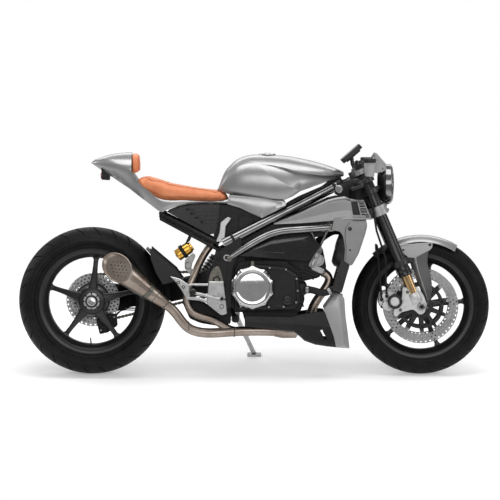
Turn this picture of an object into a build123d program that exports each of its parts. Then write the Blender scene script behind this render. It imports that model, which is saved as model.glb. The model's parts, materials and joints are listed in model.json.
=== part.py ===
from build123d import *
from math import acos, atan2, cos, hypot, pi, radians, sin, sqrt
import os

# Cafe racer motorcycle with a single-sided swingarm, parked on its side stand.
# Everything is modelled upright in the frame's own coordinates, in millimetres: X forward, Y to the
# rider's left, Z up from the ground line. The frame stays, and the axles take their places from it.
# park() then leans it onto its side stand, with the floor at Z = 0 and the origin under the middle of
# its length and width.

# Overall layout
PIVOT = (543.0, 418.0)       # swingarm pivot, X and Z
ARM_LENGTH = 551.5           # pivot to rear axle
HEAD = (1222.8, 706.3)       # steering axis at the middle of the lower clamp, X and Z
LEAN = 10.0                  # lean to the left when parked, degrees
RAKE = 23.0                  # steering axis from the vertical, degrees
FORK_OFFSET = 32.0           # steering axis to front axle, square to the axis
FORK_LEAD = 10.0             # fork leg centre to front axle
MIDDLE_Y = 141.8             # middle of the parked machine's width

# Tyres and rims: one row per wheel
BEAD_R = 217.0               # bead seat of a 17 inch rim
FLANGE_R = BEAD_R + 13.0
RIM_IN_R = BEAD_R - 26.0     # inside of the rim well
RIM_WALL = 6.0
TYRE_WALL = 9.0
REAR_SECTION, FRONT_SECTION = 103.0, 82.0    # tyre height above the bead seat
REAR = dict(radius=BEAD_R + REAR_SECTION, half=97.0, crown=104.0, rim_half=76.0)
FRONT = dict(radius=BEAD_R + FRONT_SECTION, half=60.0, crown=66.0, rim_half=45.0)

# Brakes
FRONT_DISC_R, FRONT_BAND, FRONT_DISC_Y = 162.0, 40.0, 62.0
REAR_DISC_R, REAR_BAND, REAR_DISC_Y = 116.0, 40.0, 36.0
DISC_THICK = 5.0

# Fork and steering
LEG_Y = 105.0                # fork leg centres from the middle plane
UPPER_TUBE_R, SLIDER_R = 27.0, 21.5
CLAMP_SPACING = 187.0        # lower to upper clamp, middle to middle
SLIDER_TOP_T, SLIDER_END_T = 150.0, 55.0
HEAD_TUBE_R = 36.0
STEM_R, STEM_BORE_R = 16.0, 9.0
STEM_RISE = 20.0             # stem end above the middle of the upper clamp
FRONT_AXLE_R, FRONT_AXLE_BORE_R = 12.5, 8.5
BAR_UNDER = 40.0             # clip-on clamp below the upper clamp
BAR_R, GRIP_R = 11.0, 17.0
BAR_SWEEP, BAR_DROP, BAR_LENGTH = 26.5, 7.5, 265.0
HOSE_R = 4.5

# Frame
UPPER_RAIL_R, LOWER_RAIL_R = 22.0, 17.0
UPPER_RAIL = ((565.0, 134.0, 571.0), (1057.0, 68.0, 820.0))    # X, half spacing and Z near its ends
LOWER_RAIL = ((612.0, -134.0, 522.0), (778.0, -139.0, 625.0), (1036.0, -139.0, 646.0))
PIVOT_R = 14.0
SHOCK_TOP, SHOCK_BOTTOM = (564.0, 532.0), (440.0, 372.0)
SHOCK_TUBE_R, SPRING_R = 11.0, 27.0
RESERVOIR, RESERVOIR_R = ((372.0, -88.0, 520.0), (424.0, -88.0, 556.0)), 26.0

# Engine, with the plates beside it
CASE_HALF = 108.0
RIGHT_COVER, LEFT_COVER = CASE_HALF + 52.0, CASE_HALF + 42.0
PLATE_IN = CASE_HALF + 2.0
PLATE_OUT = PLATE_IN + 38.0

# Rear hub and final drive
HUB_SHAFT_R, HUB_BORE_R = 30.0, 15.0
ARM_HUB_R = 78.0
ARM_WINDOW = 50.0            # half width of the shock's window in the yoke
CHAIN_PITCH, CHAIN_W = 15.875, 16.0
CHAIN_Y = CASE_HALF + 21.0
HUB_BORE_Y = (-84.0, CHAIN_Y + 14.0)  # ends of the hollow axle
CHAIN_HALF_H, CHAIN_GROOVE, CHAIN_GROOVE_W = 6.6, 1.0, 7.0
CHAIN_WAIST = 2.2            # link plates are this much lower between the pins, above and below
CHAIN_ROOM, CHAIN_CHANNEL = 14.0, 21.0    # half height and width of the passage through the left plate
REAR_TEETH, FRONT_TEETH = 42, 16
FRONT_SPROCKET = (628.0, 404.0)
SPROCKET_STUB_R = 22.0

# Side stand
STAND_PIVOT = (625.0, 138.0, 246.0)
STAND_BOSS = 12.5            # half width of the stand's eye

# Clearances
SEAT_GAP = 0.3               # between pieces that rest on each other
FIT_GAP = 0.2                # round a tube held in a clamp or socket
RUN_GAP = 0.4                # round a turning shaft
SWEEP_GAP = 5.0              # between a piece and one that sweeps past it

COS_LEAN, SIN_LEAN = cos(radians(LEAN)), sin(radians(LEAN))
COS_RAKE, SIN_RAKE = cos(radians(RAKE)), sin(radians(RAKE))


def axle_height(wheel):
    """Height of the axle above the line on which the leaning tyre crown meets the floor."""
    return wheel["radius"] - wheel["crown"] + wheel["crown"] / COS_LEAN


REAR_Z, FRONT_Z = axle_height(REAR), axle_height(FRONT)
REAR_X = PIVOT[0] - sqrt(ARM_LENGTH ** 2 - (PIVOT[1] - REAR_Z) ** 2)

# Heights up the steering axis, from the front axle's level
LOWER_CLAMP_T = (HEAD[1] + FORK_OFFSET * SIN_RAKE - FRONT_Z) / COS_RAKE
UPPER_CLAMP_T = LOWER_CLAMP_T + CLAMP_SPACING
FORK_TOP_T = UPPER_CLAMP_T + 32
BAR_T = UPPER_CLAMP_T - BAR_UNDER
FRONT_X = HEAD[0] + LOWER_CLAMP_T * SIN_RAKE + FORK_OFFSET * COS_RAKE

FRONT_AXLE = Vector(FRONT_X, 0, FRONT_Z)
MIDDLE_X = (FRONT_X + FRONT["radius"] + REAR_X - REAR["radius"]) / 2
UP_FORK = Vector(-SIN_RAKE, 0, COS_RAKE)
FORWARD = Vector(COS_RAKE, 0, SIN_RAKE)
LEG_FORWARD = FORK_OFFSET - FORK_LEAD


def park(shape):
    """Leans a shape onto the side stand and moves it to the stored frame."""
    return Pos(-MIDDLE_X, -MIDDLE_Y, 0) * (Rot(-LEAN, 0, 0) * shape)


def steer_point(t, forward=0.0, y=0.0):
    """A point t up the steering axis from the front axle's level, forward of the axis and at y."""
    p = FRONT_AXLE + FORWARD * (forward - FORK_OFFSET) + UP_FORK * t
    return Vector(p.X, y, p.Z)


# Basic operations

def both(shape):
    """A right-hand shape and its mirror image on the left."""
    return Compound(children=[shape, mirror(shape, Plane.XZ)])


def outline(points, corner=0.0):
    """Closed face from points in a plane, its corners rounded."""
    face = make_face(Polyline(*points, close=True))
    return fillet(face.vertices(), corner) if corner else face


def slab(points, y_low, y_high, corner=0.0):
    """A side view outline of (X, Z) points, extruded from y_low to y_high."""
    plane = Plane(origin=(0, y_high, 0), x_dir=(1, 0, 0), z_dir=(0, -1, 0))
    return extrude(plane * outline(points, corner), y_high - y_low)


def plan(points, z_low, z_high, corner=0.0):
    """A plan view outline of (X, Y) points, extruded from z_low to z_high."""
    return extrude(Plane.XY.offset(z_low) * outline(points, corner), z_high - z_low)


def rod(p, q, r, r_end=None):
    """A round bar or cone from p to q."""
    a, b = Vector(*p), Vector(*q)
    plane = Plane(origin=a, z_dir=b - a)
    low = (Align.CENTER, Align.CENTER, Align.MIN)
    length = (b - a).length
    return plane * (Cylinder(r, length, align=low) if r_end is None else Cone(r, r_end, length, align=low))


def disc(x, z, r, y_low, y_high):
    """A round slab across the machine."""
    return rod((x, y_low, z), (x, y_high, z), r)


def pipe(points, r, bend):
    """A round bar along straight runs joined by bends."""
    path = FilletPolyline(*points, radius=bend)
    return sweep(Plane(origin=path @ 0, z_dir=path % 0) * Circle(r), path)


def turned(profile, x, z):
    """A closed profile of (Y, radius) points turned about the cross axis through x and z."""
    plane = Plane(origin=(x, 0, z), x_dir=(0, 1, 0), z_dir=(1, 0, 0))
    face = make_face(Polyline(*profile, close=True)) if isinstance(profile, list) else profile
    return revolve(plane * face, Axis((x, 0, z), (0, 1, 0)), 360)


def around(shape, x, z, angle):
    """A shape made pointing up from the cross axis at the origin, turned to angle and moved to x, z."""
    return Pos(x, 0, z) * (Rot(0, 90 - angle, 0) * shape)


# Wheels

def tyre(wheel, x, z):
    """A hollow tyre: crown arc, shoulder, side wall and beads."""
    r, half, crown, rim = wheel["radius"], wheel["half"], wheel["crown"], wheel["rim_half"]
    lean_to = 57.0
    shoulder = (crown * sin(radians(lean_to)), r - crown * (1 - cos(radians(lean_to))))
    inner = crown - TYRE_WALL
    in_shoulder = (inner * sin(radians(lean_to)), r - crown + inner * cos(radians(lean_to)))
    widest = (half, shoulder[1] - 14)
    foot = (rim - SEAT_GAP, BEAD_R)
    over = (rim - SEAT_GAP, FLANGE_R + 2)
    wall = (rim + RIM_WALL, FLANGE_R + 6)
    bead = (rim - TYRE_WALL, BEAD_R)
    hips = (half - TYRE_WALL, widest[1])

    def flip(p):
        return (-p[0], p[1])

    outer = [Line(foot, over), Line(over, wall), Line(wall, widest), Line(widest, shoulder)]
    hollow = [Line(bead, (rim - TYRE_WALL, FLANGE_R + 4)),
              Line((rim - TYRE_WALL, FLANGE_R + 4), hips), Line(hips, in_shoulder)]
    edges = outer + hollow
    edges += [mirror(e, Plane.YZ) for e in edges]
    edges += [ThreePointArc(shoulder, (0, r), flip(shoulder))]
    edges += [ThreePointArc(in_shoulder, (0, r - TYRE_WALL), flip(in_shoulder))]
    edges += [Line(foot, bead), Line(flip(foot), flip(bead))]
    return turned(make_face(edges), x, z)


def rim_barrel(wheel, x, z):
    """Rim with flanges, bead seats and a dropped well."""
    h, wall = wheel["rim_half"], RIM_WALL
    seat = BEAD_R - SEAT_GAP
    half = [(h + wall, FLANGE_R), (h, FLANGE_R), (h, seat), (h * 0.72, seat), (h * 0.45, RIM_IN_R + wall)]
    under = [(h * 0.5, RIM_IN_R), (h * 0.8, seat - wall), (h + wall, seat - wall)]
    top = half + [(-y, r) for y, r in reversed(half)]
    bottom = [(-y, r) for y, r in under][::-1] + under
    return turned(top + bottom, x, z)


def spoke(stations):
    """One spoke pointing up, through a row of cross sections."""
    return loft([Pos(0, (low + high) / 2, radius) * Rectangle(width, high - low)
                 for radius, width, low, high in stations], ruled=True)


SPOKES = 5
REAR_SPOKE_AT, FRONT_SPOKE_AT = 15.0, 5.0
SPOKE_END = RIM_IN_R + 3.0   # spokes run this far into the rim's well
# Sections of a spoke from hub to rim: radius, width, Y low, Y high
REAR_SPOKE = ((52, 44, -64, -22), (86, 31, -56, -16), (132, 21, -40, -8), (SPOKE_END - 16, 20, -28, 0),
              (SPOKE_END, 36, -28, 3))
FRONT_SPOKE = ((28, 32, -22, 22), (70, 25, -18, 18), (120, 20, -15, 15), (SPOKE_END - 16, 19, -12, 12),
               (SPOKE_END, 34, -14, 14))


def rear_rim():
    rim = rim_barrel(REAR, REAR_X, REAR_Z)
    hub = turned([(-70, HUB_SHAFT_R + SEAT_GAP), (-70, 58), (-20, 70), (REAR_DISC_Y - 4, 52),
                  (REAR_DISC_Y - 4, HUB_SHAFT_R + SEAT_GAP)], REAR_X, REAR_Z)
    rim += hub
    for k in range(SPOKES):
        rim += around(spoke(REAR_SPOKE), REAR_X, REAR_Z, REAR_SPOKE_AT + k * 360 / SPOKES)
    return rim


def front_rim():
    rim = rim_barrel(FRONT, FRONT_X, FRONT_Z)
    bore = FRONT_AXLE_R + RUN_GAP
    rim += turned([(-52, 0), (-52, 26), (-30, 34), (30, 34), (52, 26), (52, 0)], FRONT_X, FRONT_Z)
    for k in range(SPOKES):
        rim += around(spoke(FRONT_SPOKE), FRONT_X, FRONT_Z, FRONT_SPOKE_AT + k * 360 / SPOKES)
    for side in (-1, 1):
        y = side * FRONT_DISC_Y
        rim += disc(FRONT_X, FRONT_Z, 40, min(y, y - 14 * side), max(y, y - 14 * side))
        rim += disc_carrier(FRONT_X, FRONT_Z, 26, FRONT_DISC_R - FRONT_BAND - SEAT_GAP, y, 8)
    return rim - disc(FRONT_X, FRONT_Z, bore, -100, 100)


def brake_disc(x, z, r, band, y, holes):
    """A drilled brake band."""
    half = DISC_THICK / 2
    inner = r - band
    ring = turned([(y - half, inner), (y - half, r), (y + half, r), (y + half, inner)], x, z)
    for k in range(holes):
        hole = Pos(0, y, r - band * (0.3 + 0.4 * (k % 2))) * (Rot(90, 0, 0) * Cylinder(4, 3 * DISC_THICK))
        ring -= around(hole, x, z, k * 360 / holes)
    return ring


def disc_carrier(x, z, inner_r, outer_r, y, arms):
    """The spider that joins a brake band to the hub."""
    half = DISC_THICK / 2
    ring = turned([(y - half, inner_r), (y - half, inner_r + 14), (y + half, inner_r + 14), (y + half, inner_r)],
                  x, z)
    for k in range(arms):
        arm = Pos(0, y, (inner_r + outer_r) / 2 + 4) * Box(13, DISC_THICK, outer_r - inner_r - 8)
        ring += around(arm, x, z, (k + 0.5) * 360 / arms)
    return ring


def rear_hub():
    """Hollow stub axle with the wheel nut on the right and the sprocket carrier on the left."""
    start, end = HUB_BORE_Y[0], CHAIN_Y - 4
    hub = turned([(start, HUB_BORE_R), (start, 35), (-70 - SEAT_GAP, 35), (-70 - SEAT_GAP, HUB_SHAFT_R),
                  (REAR_DISC_Y - 4 + SEAT_GAP, HUB_SHAFT_R), (REAR_DISC_Y - 3, 60), (REAR_DISC_Y + 6, 60),
                  (REAR_DISC_Y + 6, HUB_SHAFT_R), (end, HUB_SHAFT_R), (end, 44), (end + 12, 40),
                  (end + 12, 24), (HUB_BORE_Y[1], 24), (HUB_BORE_Y[1], HUB_BORE_R)], REAR_X, REAR_Z)
    return hub


def chain_radius(teeth):
    return CHAIN_PITCH / 2 / sin(pi / teeth)


def sprocket(x, z, teeth, hub_r, windows):
    """A toothed plate whose tips stop short of the chain rollers."""
    tip, root, thick = chain_radius(teeth) - 1.2, chain_radius(teeth) - 7, 6.0
    points = []
    for k in range(teeth):
        for r, part in ((root, 0.0), (root, 0.3), (tip, 0.5), (tip, 0.8)):
            a = 2 * pi * (k + part) / teeth
            points.append((x + r * cos(a), z + r * sin(a)))
    plate = slab(points, CHAIN_Y - thick / 2, CHAIN_Y + thick / 2)
    if hub_r:
        plate -= disc(x, z, hub_r, CHAIN_Y - thick, CHAIN_Y + thick)
    for k in range(windows):
        hole = Pos(0, CHAIN_Y, (hub_r + root) / 2 + 4) * (Rot(90, 0, 0) * Cylinder(13, 3 * thick))
        plate -= around(hole, x, z, (k + 0.5) * 360 / windows)
    return plate


def chain_outline(out):
    """Closed path round both sprockets, moved outward from the pitch line by out."""
    fx, fz = FRONT_SPROCKET
    r1, r2 = chain_radius(REAR_TEETH), chain_radius(FRONT_TEETH)
    span, tilt = hypot(fx - REAR_X, fz - REAR_Z), atan2(fz - REAR_Z, fx - REAR_X)
    splay = acos((r1 - r2) / span)

    def on(x, z, r, angle):
        return (x + (r + out) * cos(angle), z + (r + out) * sin(angle))

    upper, lower = tilt + splay, tilt - splay
    edges = [Line(on(REAR_X, REAR_Z, r1, upper), on(fx, fz, r2, upper)),
             ThreePointArc(on(fx, fz, r2, upper), on(fx, fz, r2, tilt), on(fx, fz, r2, lower)),
             Line(on(fx, fz, r2, lower), on(REAR_X, REAR_Z, r1, lower)),
             ThreePointArc(on(REAR_X, REAR_Z, r1, lower), on(REAR_X, REAR_Z, r1, tilt + pi),
                           on(REAR_X, REAR_Z, r1, upper))]
    return make_face(edges)


def chain_layer(out, width):
    """The area inside a chain path as a slab of this width on the chain's middle plane."""
    plane = Plane(origin=(0, CHAIN_Y + width / 2, 0), x_dir=(1, 0, 0), z_dir=(0, -1, 0))
    return extrude(plane * chain_outline(out), width)


def chain():
    """Closed loop of link plates, waisted between the pins, with a groove that the teeth run in."""
    pitch_line = chain_outline(0).face().outer_wire()
    steps = 2 * round(pitch_line.length / CHAIN_PITCH)
    edges = {1: [], -1: []}
    for k in range(steps):
        at, along = pitch_line.position_at(k / steps), pitch_line.tangent_at(k / steps)
        out = CHAIN_HALF_H - CHAIN_WAIST * (k % 2)
        for side, points in edges.items():
            points.append((at.X + side * out * along.Y, at.Y - side * out * along.X))
    inner, outer = sorted((outline(points) for points in edges.values()), key=lambda face: face.area)
    plane = Plane(origin=(0, CHAIN_Y + CHAIN_W / 2, 0), x_dir=(1, 0, 0), z_dir=(0, -1, 0))
    band = extrude(plane * outer, CHAIN_W) - extrude(plane * inner, CHAIN_W)
    return band - chain_layer(CHAIN_GROOVE, CHAIN_GROOVE_W)


def front_sprocket():
    """Small sprocket on its shaft stub, against the left side of the crankcase."""
    x, z = FRONT_SPROCKET
    stub = disc(x, z, SPROCKET_STUB_R, CASE_HALF + SEAT_GAP, CHAIN_Y + 8)
    return sprocket(x, z, FRONT_TEETH, 0, 0) + stub


# Fork, steering and controls, right-hand pieces first

def leg(t_low, t_high, r, y=-LEG_Y):
    return rod(steer_point(t_low, LEG_FORWARD, y), steer_point(t_high, LEG_FORWARD, y), r)


def fork_tubes():
    tube = leg(SLIDER_TOP_T, LOWER_CLAMP_T - 24, UPPER_TUBE_R + 2) + leg(LOWER_CLAMP_T - 24, FORK_TOP_T, UPPER_TUBE_R)
    return both(tube + leg(FORK_TOP_T, FORK_TOP_T + 8, 17))


def fork_sliders():
    return both(leg(SLIDER_END_T + SEAT_GAP, SLIDER_TOP_T - SEAT_GAP, SLIDER_R))


CARRIER_IN, CARRIER_OUT = LEG_Y - 24, LEG_Y + 22


def axle_carriers():
    """Fork feet with the radial caliper lugs behind, and the hollow axle between them."""
    x, z = FRONT_X, FRONT_Z
    foot = slab([(x - 84, z + 86), (x - 50, z + 82), (x - 18, z + 88), (x + 10, z + 44), (x + 26, z + 4),
                 (x + 14, z - 26), (x - 6, z - 36), (x - 34, z - 8), (x - 92, z - 26), (x - 112, z - 48),
                 (x - 124, z - 30), (x - 116, z + 8), (x - 88, z + 24), (x - 84, z + 52)],
                -CARRIER_OUT + 6, -CARRIER_IN, 5)
    foot += leg(26, SLIDER_END_T + 14, SLIDER_R + 6)
    foot -= leg(SLIDER_END_T, SLIDER_TOP_T, SLIDER_R + FIT_GAP)
    reach = CARRIER_OUT + 4
    pair = foot + mirror(foot, Plane.XZ) + disc(x, z, FRONT_AXLE_R, -reach, reach)
    return pair - disc(x, z, FRONT_AXLE_BORE_R, -reach - 1, reach + 1)


def front_calipers():
    """Four-piston calipers over the discs, bolted to the fork feet."""
    x, z = FRONT_X - 146, FRONT_Z + 24
    body = slab([(x - 30, z + 34), (x + 14, z + 46), (x + 40, z + 22), (x + 36, z - 30), (x + 8, z - 46),
                 (x - 30, z - 34), (x - 40, z)], -CARRIER_IN + SEAT_GAP, -FRONT_DISC_Y + 22, 6)
    slot = DISC_THICK + 3
    body -= disc(FRONT_X, FRONT_Z, FRONT_DISC_R + 6, -FRONT_DISC_Y - slot / 2, -FRONT_DISC_Y + slot / 2)
    return both(body)


def triple_clamps():
    """Lower and upper clamps on the steering stem."""
    clamps = None
    for t, thick in ((LOWER_CLAMP_T, 42.0), (UPPER_CLAMP_T, 22.0)):
        plane = Plane(origin=steer_point(t - thick / 2), x_dir=FORWARD, z_dir=UP_FORK)
        lobe = UPPER_TUBE_R + 12
        face = outline([(-34, -24), (-34, 24), (0, 58), (LEG_FORWARD - 28, LEG_Y), (LEG_FORWARD + 24, LEG_Y),
                        (LEG_FORWARD + 16, 30), (LEG_FORWARD + 16, -30), (LEG_FORWARD + 24, -LEG_Y),
                        (LEG_FORWARD - 28, -LEG_Y), (0, -58)], 6)
        clamp = extrude(plane * face, thick)
        for side in (-1, 1):
            ends = [steer_point(t + e * thick / 2, LEG_FORWARD, side * LEG_Y) for e in (-1, 1)]
            clamp += rod(*ends, lobe)
        for side in (-1, 1):
            ends = [steer_point(t + e * thick, LEG_FORWARD, side * LEG_Y) for e in (-1, 1)]
            clamp -= rod(*ends, UPPER_TUBE_R + FIT_GAP)
        clamps = clamp if clamps is None else clamps + clamp
    clamps += rod(steer_point(LOWER_CLAMP_T - 26), steer_point(UPPER_CLAMP_T + STEM_RISE), STEM_R)
    return clamps - rod(steer_point(LOWER_CLAMP_T - 40), steer_point(UPPER_CLAMP_T + 40), STEM_BORE_R)


BAR_ROOT = steer_point(BAR_T, LEG_FORWARD, -LEG_Y)
BAR_WAY = Vector(-sin(radians(BAR_SWEEP)), -cos(radians(BAR_SWEEP)), -sin(radians(BAR_DROP))).normalized()


def bar_point(s):
    return BAR_ROOT + BAR_WAY * s


BAR_AHEAD = Vector(cos(radians(BAR_SWEEP)), -sin(radians(BAR_SWEEP)), 0)    # square to the bar, forward


def clip_ons():
    """Split clamps on the fork tubes, each with its short bar."""
    clip = leg(BAR_T - 16, BAR_T + 16, UPPER_TUBE_R + 10)
    clip += rod(bar_point(UPPER_TUBE_R + 2), bar_point(BAR_LENGTH), BAR_R)
    clip -= leg(BAR_T - 30, BAR_T + 30, UPPER_TUBE_R + FIT_GAP)
    return both(clip)


def grips():
    grip = rod(bar_point(135), bar_point(BAR_LENGTH - 2), GRIP_R) + rod(bar_point(128), bar_point(135), GRIP_R + 5)
    grip += rod(bar_point(BAR_LENGTH - 2), bar_point(BAR_LENGTH + 14), GRIP_R - 1)
    return both(grip - rod(bar_point(100), bar_point(BAR_LENGTH), BAR_R + FIT_GAP))


def brake_levers():
    """Master cylinders with their levers, and the reservoirs over them."""
    ahead, up = BAR_AHEAD, Vector(0, 0, 1)
    body = rod(bar_point(92), bar_point(122), GRIP_R + 4) - rod(bar_point(60), bar_point(150), BAR_R + FIT_GAP)
    start = bar_point(84) + ahead * 26
    body += rod(start, bar_point(150) + ahead * 40, 11)
    body += rod(bar_point(100) + ahead * 14, bar_point(100) + ahead * 34, 10)
    blade = pipe([tuple(bar_point(140) + ahead * 40), tuple(bar_point(175) + ahead * 66),
                  tuple(bar_point(258) + ahead * 58)], 6, 20)
    body += blade + Pos(*(bar_point(258) + ahead * 58)) * Sphere(8)
    cup = bar_point(62) + ahead * 48 + up * 22
    body += rod(cup, cup + up * 62, 20, 25)
    body += rod(cup + up * 62, cup + up * 80, 27)
    body += rod(bar_point(106) + ahead * 26, cup + up * 6, 6)
    return both(body)


def banjo(point):
    """Hose end on the outer face of the right caliper."""
    x, y, z = point
    return rod((x, y - HOSE_R - 2, z), (x, -CARRIER_IN + SEAT_GAP, z), 8)


def brake_hoses():
    """Hose from the right master cylinder behind the fork to its caliper, and one across to the left caliper."""
    x, z = FRONT_X, FRONT_Z
    y = -CARRIER_IN - 9
    first, second = (x - 150, y, z + 45), (x - 172, y, z + 30)
    inboard = bar_point(84) + BAR_AHEAD * 26
    way = (inboard - bar_point(150) - BAR_AHEAD * 40).normalized()
    main = pipe([tuple(inboard + way * SEAT_GAP), tuple(inboard + way * 36),
                 tuple(steer_point(480, 4, -LEG_Y - 51)), tuple(steer_point(380, -20, -LEG_Y - 23)),
                 tuple(steer_point(250, -30, -LEG_Y - 5)), (x - 154, y - 6, z + 110), first], HOSE_R, 24)
    over = [(x - 180, y, z + 130), (x - 192, -84, z + 262)]
    right = [second] + over
    cross = pipe(right + [(px, -py, pz) for px, py, pz in reversed(right)], HOSE_R, 26)
    ends = banjo(first) + banjo(second) + mirror(banjo(second), Plane.XZ)
    return main + cross + ends


HEADLAMP_R, HEADLAMP_X, HEADLAMP_Z = 86.0, 1242.0, 830.0
LAMP_BAND_T = LOWER_CLAMP_T + 90    # height of the lamp's clamps up the fork


def headlamp_shell():
    """Shallow round lamp body with its rim and the two brackets to the fork."""
    x, z = HEADLAMP_X, HEADLAMP_Z

    def drum(x0, x1, r0, r1=None):
        return rod((x0, 0, z), (x1, 0, z), r0, r1)

    shell = drum(x, x + 32, 62, HEADLAMP_R - 4) + drum(x + 32, x + 62, HEADLAMP_R)
    shell -= drum(x + 40, x + 70, HEADLAMP_R - 6)
    for side in (-1, 1):
        y = side * (LEG_Y - 37)
        plate = slab([(x - 62, z + 92), (x - 10, z + 108), (x + 38, z + 74), (x + 34, z + 60), (x - 8, z + 46),
                      (x - 50, z + 73)], y - 3, y + 3, 5)
        shell += plate + disc(x + 16, z + 56, 6, min(0, y), max(0, y))
        band = leg(LAMP_BAND_T - 11, LAMP_BAND_T + 11, UPPER_TUBE_R + 6, side * LEG_Y)
        band += rod(steer_point(LAMP_BAND_T, LEG_FORWARD + 30, side * (LEG_Y - 14)), (x + 12, side * 52, z - 24), 9)
        shell += band - leg(LAMP_BAND_T - 30, LAMP_BAND_T + 30, UPPER_TUBE_R + FIT_GAP, side * LEG_Y)
    return shell


def headlamp_lens():
    x, z = HEADLAMP_X, HEADLAMP_Z
    glass = rod((x + 56, 0, z), (x + 64, 0, z), HEADLAMP_R - 6 - SEAT_GAP)
    return glass + rod((x + 64, 0, z), (x + 70, 0, z), HEADLAMP_R - 8, HEADLAMP_R - 24)


def instrument():
    """Flat display over the upper clamp, on a stalk from it."""
    plane = Plane(origin=(1127, 0, 962), x_dir=(0, 1, 0), z_dir=(-0.66, 0, 0.75))
    slab_box = plane * (Pos(0, 0, 0) * Box(176, 106, 22))
    slab_box = fillet(slab_box.edges().filter_by(Axis(plane.origin, plane.z_dir)), 10)
    foot, knee = steer_point(UPPER_CLAMP_T + STEM_RISE + SEAT_GAP), steer_point(UPPER_CLAMP_T + STEM_RISE + 20)
    return slab_box + rod(foot, knee, 9) + rod(knee, (1128, 0, 952), 9) + Pos(*knee) * Sphere(9)


GUARD_IN, GUARD_WALL, GUARD_HALF = FRONT["radius"] + 6.0, 3.0, 68.0
GUARD_FROM, GUARD_TO = 60.0, 133.0


def ring_sector(x, z, r_in, r_out, half, a_from, a_to):
    """Part of a ring across the machine between two angles above the forward horizontal."""
    ring = turned([(-half, r_in), (-half, r_out), (half, r_out), (half, r_in)], x, z)
    far = 3 * r_out
    steps = [radians(a_from + (a_to - a_from) * k / 4) for k in range(5)]
    wedge = [(x, z)] + [(x + far * cos(a), z + far * sin(a)) for a in steps]
    return ring & slab(wedge, -half - 1, half + 1)


def front_mudguard():
    x, z = FRONT_X, FRONT_Z
    guard = ring_sector(x, z, GUARD_IN, GUARD_IN + GUARD_WALL, GUARD_HALF, GUARD_FROM, GUARD_TO)
    skirt = ring_sector(x, z, GUARD_IN - 40, GUARD_IN + GUARD_WALL, GUARD_HALF, GUARD_FROM + 2, GUARD_TO - 2)
    skirt -= disc(x, z, 2 * GUARD_IN, -GUARD_HALF + GUARD_WALL, GUARD_HALF - GUARD_WALL)
    stay = mudguard_stay()
    return guard + skirt + stay + mirror(stay, Plane.XZ)


def mudguard_stay():
    """Leaf-shaped strut from the mudguard down beside the fork leg, with its clasp."""
    x, z = FRONT_X, FRONT_Z
    rim = z + GUARD_IN - 43
    leaf = slab([(x - 94, rim), (x + 32, rim + 6), (x + 50, rim - 4), (x + 36, rim - 24), (x + 16, z + 214),
                 (x + 14, z + 190), (x + 40, z + 130), (x + 50, z + 88), (x + 44, z + 36), (x + 32, z + 24),
                 (x + 18, z + 30), (x - 10, z + 116), (x - 48, z + 196), (x - 80, z + 232)],
                -GUARD_HALF - 7, -GUARD_HALF, 4)
    clasp = rod(steer_point(196, LEG_FORWARD, -LEG_Y), steer_point(222, LEG_FORWARD, -LEG_Y), UPPER_TUBE_R + 7)
    clasp += slab([(x - 96, z + 190), (x - 40, z + 190), (x - 44, z + 216), (x - 96, z + 216)],
                  -LEG_Y + 12, -GUARD_HALF)
    clasp -= leg(150, 300, UPPER_TUBE_R + 2 + FIT_GAP)
    return leaf + clasp


# Frame, engine and bodywork

def rail_y(x):
    """Half spacing of the upper frame rails, which close in towards the steering head."""
    (x0, y0, _), (x1, y1, _) = UPPER_RAIL
    return y0 + (y1 - y0) * (x - x0) / (x1 - x0)


def rail_z(x):
    """Height of the upper rail's centreline."""
    (x0, _, z0), (x1, _, z1) = UPPER_RAIL
    return z0 + (z1 - z0) * (x - x0) / (x1 - x0)


def upper_rails():
    """A straight rail each side from the pivot plate to the steering head."""
    low, high = 578, 1072
    return both(rod((low, -rail_y(low), rail_z(low)), (high, -rail_y(high), rail_z(high)), UPPER_RAIL_R))


def lower_rails():
    """A rail each side with one bend, from the pivot plate to the front engine mount, with its V bracket."""
    y = LOWER_RAIL[-1][1]
    bracket = slab([(938, 636), (956, 636), (984, 566), (1016, 636), (1034, 636), (994, 534), (974, 534)],
                   y + 4, y + 12, 2)
    return both(pipe(LOWER_RAIL, LOWER_RAIL_R, 120) + bracket)


def lower_rail_socket(back):
    """Room for the right lower rail's rear run, begun this far behind the rail's end."""
    start, knee = Vector(*LOWER_RAIL[0]), Vector(*LOWER_RAIL[1])
    return rod(start - (knee - start).normalized() * back, knee, LOWER_RAIL_R + FIT_GAP)


def steering_head():
    """Head tube with the gusseted casting that takes the upper rails."""
    low, high = LOWER_CLAMP_T + 21 + SWEEP_GAP, UPPER_CLAMP_T - 11 - SWEEP_GAP
    head = rod(steer_point(low), steer_point(high), HEAD_TUBE_R)
    web = slab([(1056, 786), (1060, 866), (1086, 870), (1120, 850), (1160, 850), (1190, 800), (1204, 750),
                (1180, 738)], -58, 58, 4)
    wedge = plan([(1052, -88), (1074, -88), (1150, -34), (1210, -34), (1210, 34), (1150, 34), (1074, 88),
                  (1052, 88)], 700, 900)
    head += web & wedge
    for side in (-1, 1):
        head += rod((1060, side * rail_y(1060), rail_z(1060)), (1088, side * 58, 832), UPPER_RAIL_R + 5)
    above = Plane(origin=steer_point(high, 40), x_dir=FORWARD, z_dir=UP_FORK)
    head -= above * Pos(0, 0, 50) * Box(220, 300, 100)
    for side in (-1, 1):
        head -= rod((1000, side * rail_y(1000), rail_z(1000)), (1110, side * rail_y(1110), rail_z(1110)),
                    UPPER_RAIL_R + FIT_GAP)
    head -= rod(steer_point(low - 200), steer_point(high + 200), STEM_R + RUN_GAP)
    return head - fuel_tank()


def pivot_plate_blank():
    """Side plate before it is fitted round the frame rails."""
    return slab([(520, 470), (538, 540), (556, rail_z(556) - 12), (650, rail_z(650) - 12), (650, 556),
                 (622, 500), (612, 470), (606, 400), (604, 300), (566, 286), (532, 330), (508, 400)],
                -PLATE_OUT, -PLATE_IN, 6)


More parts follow.
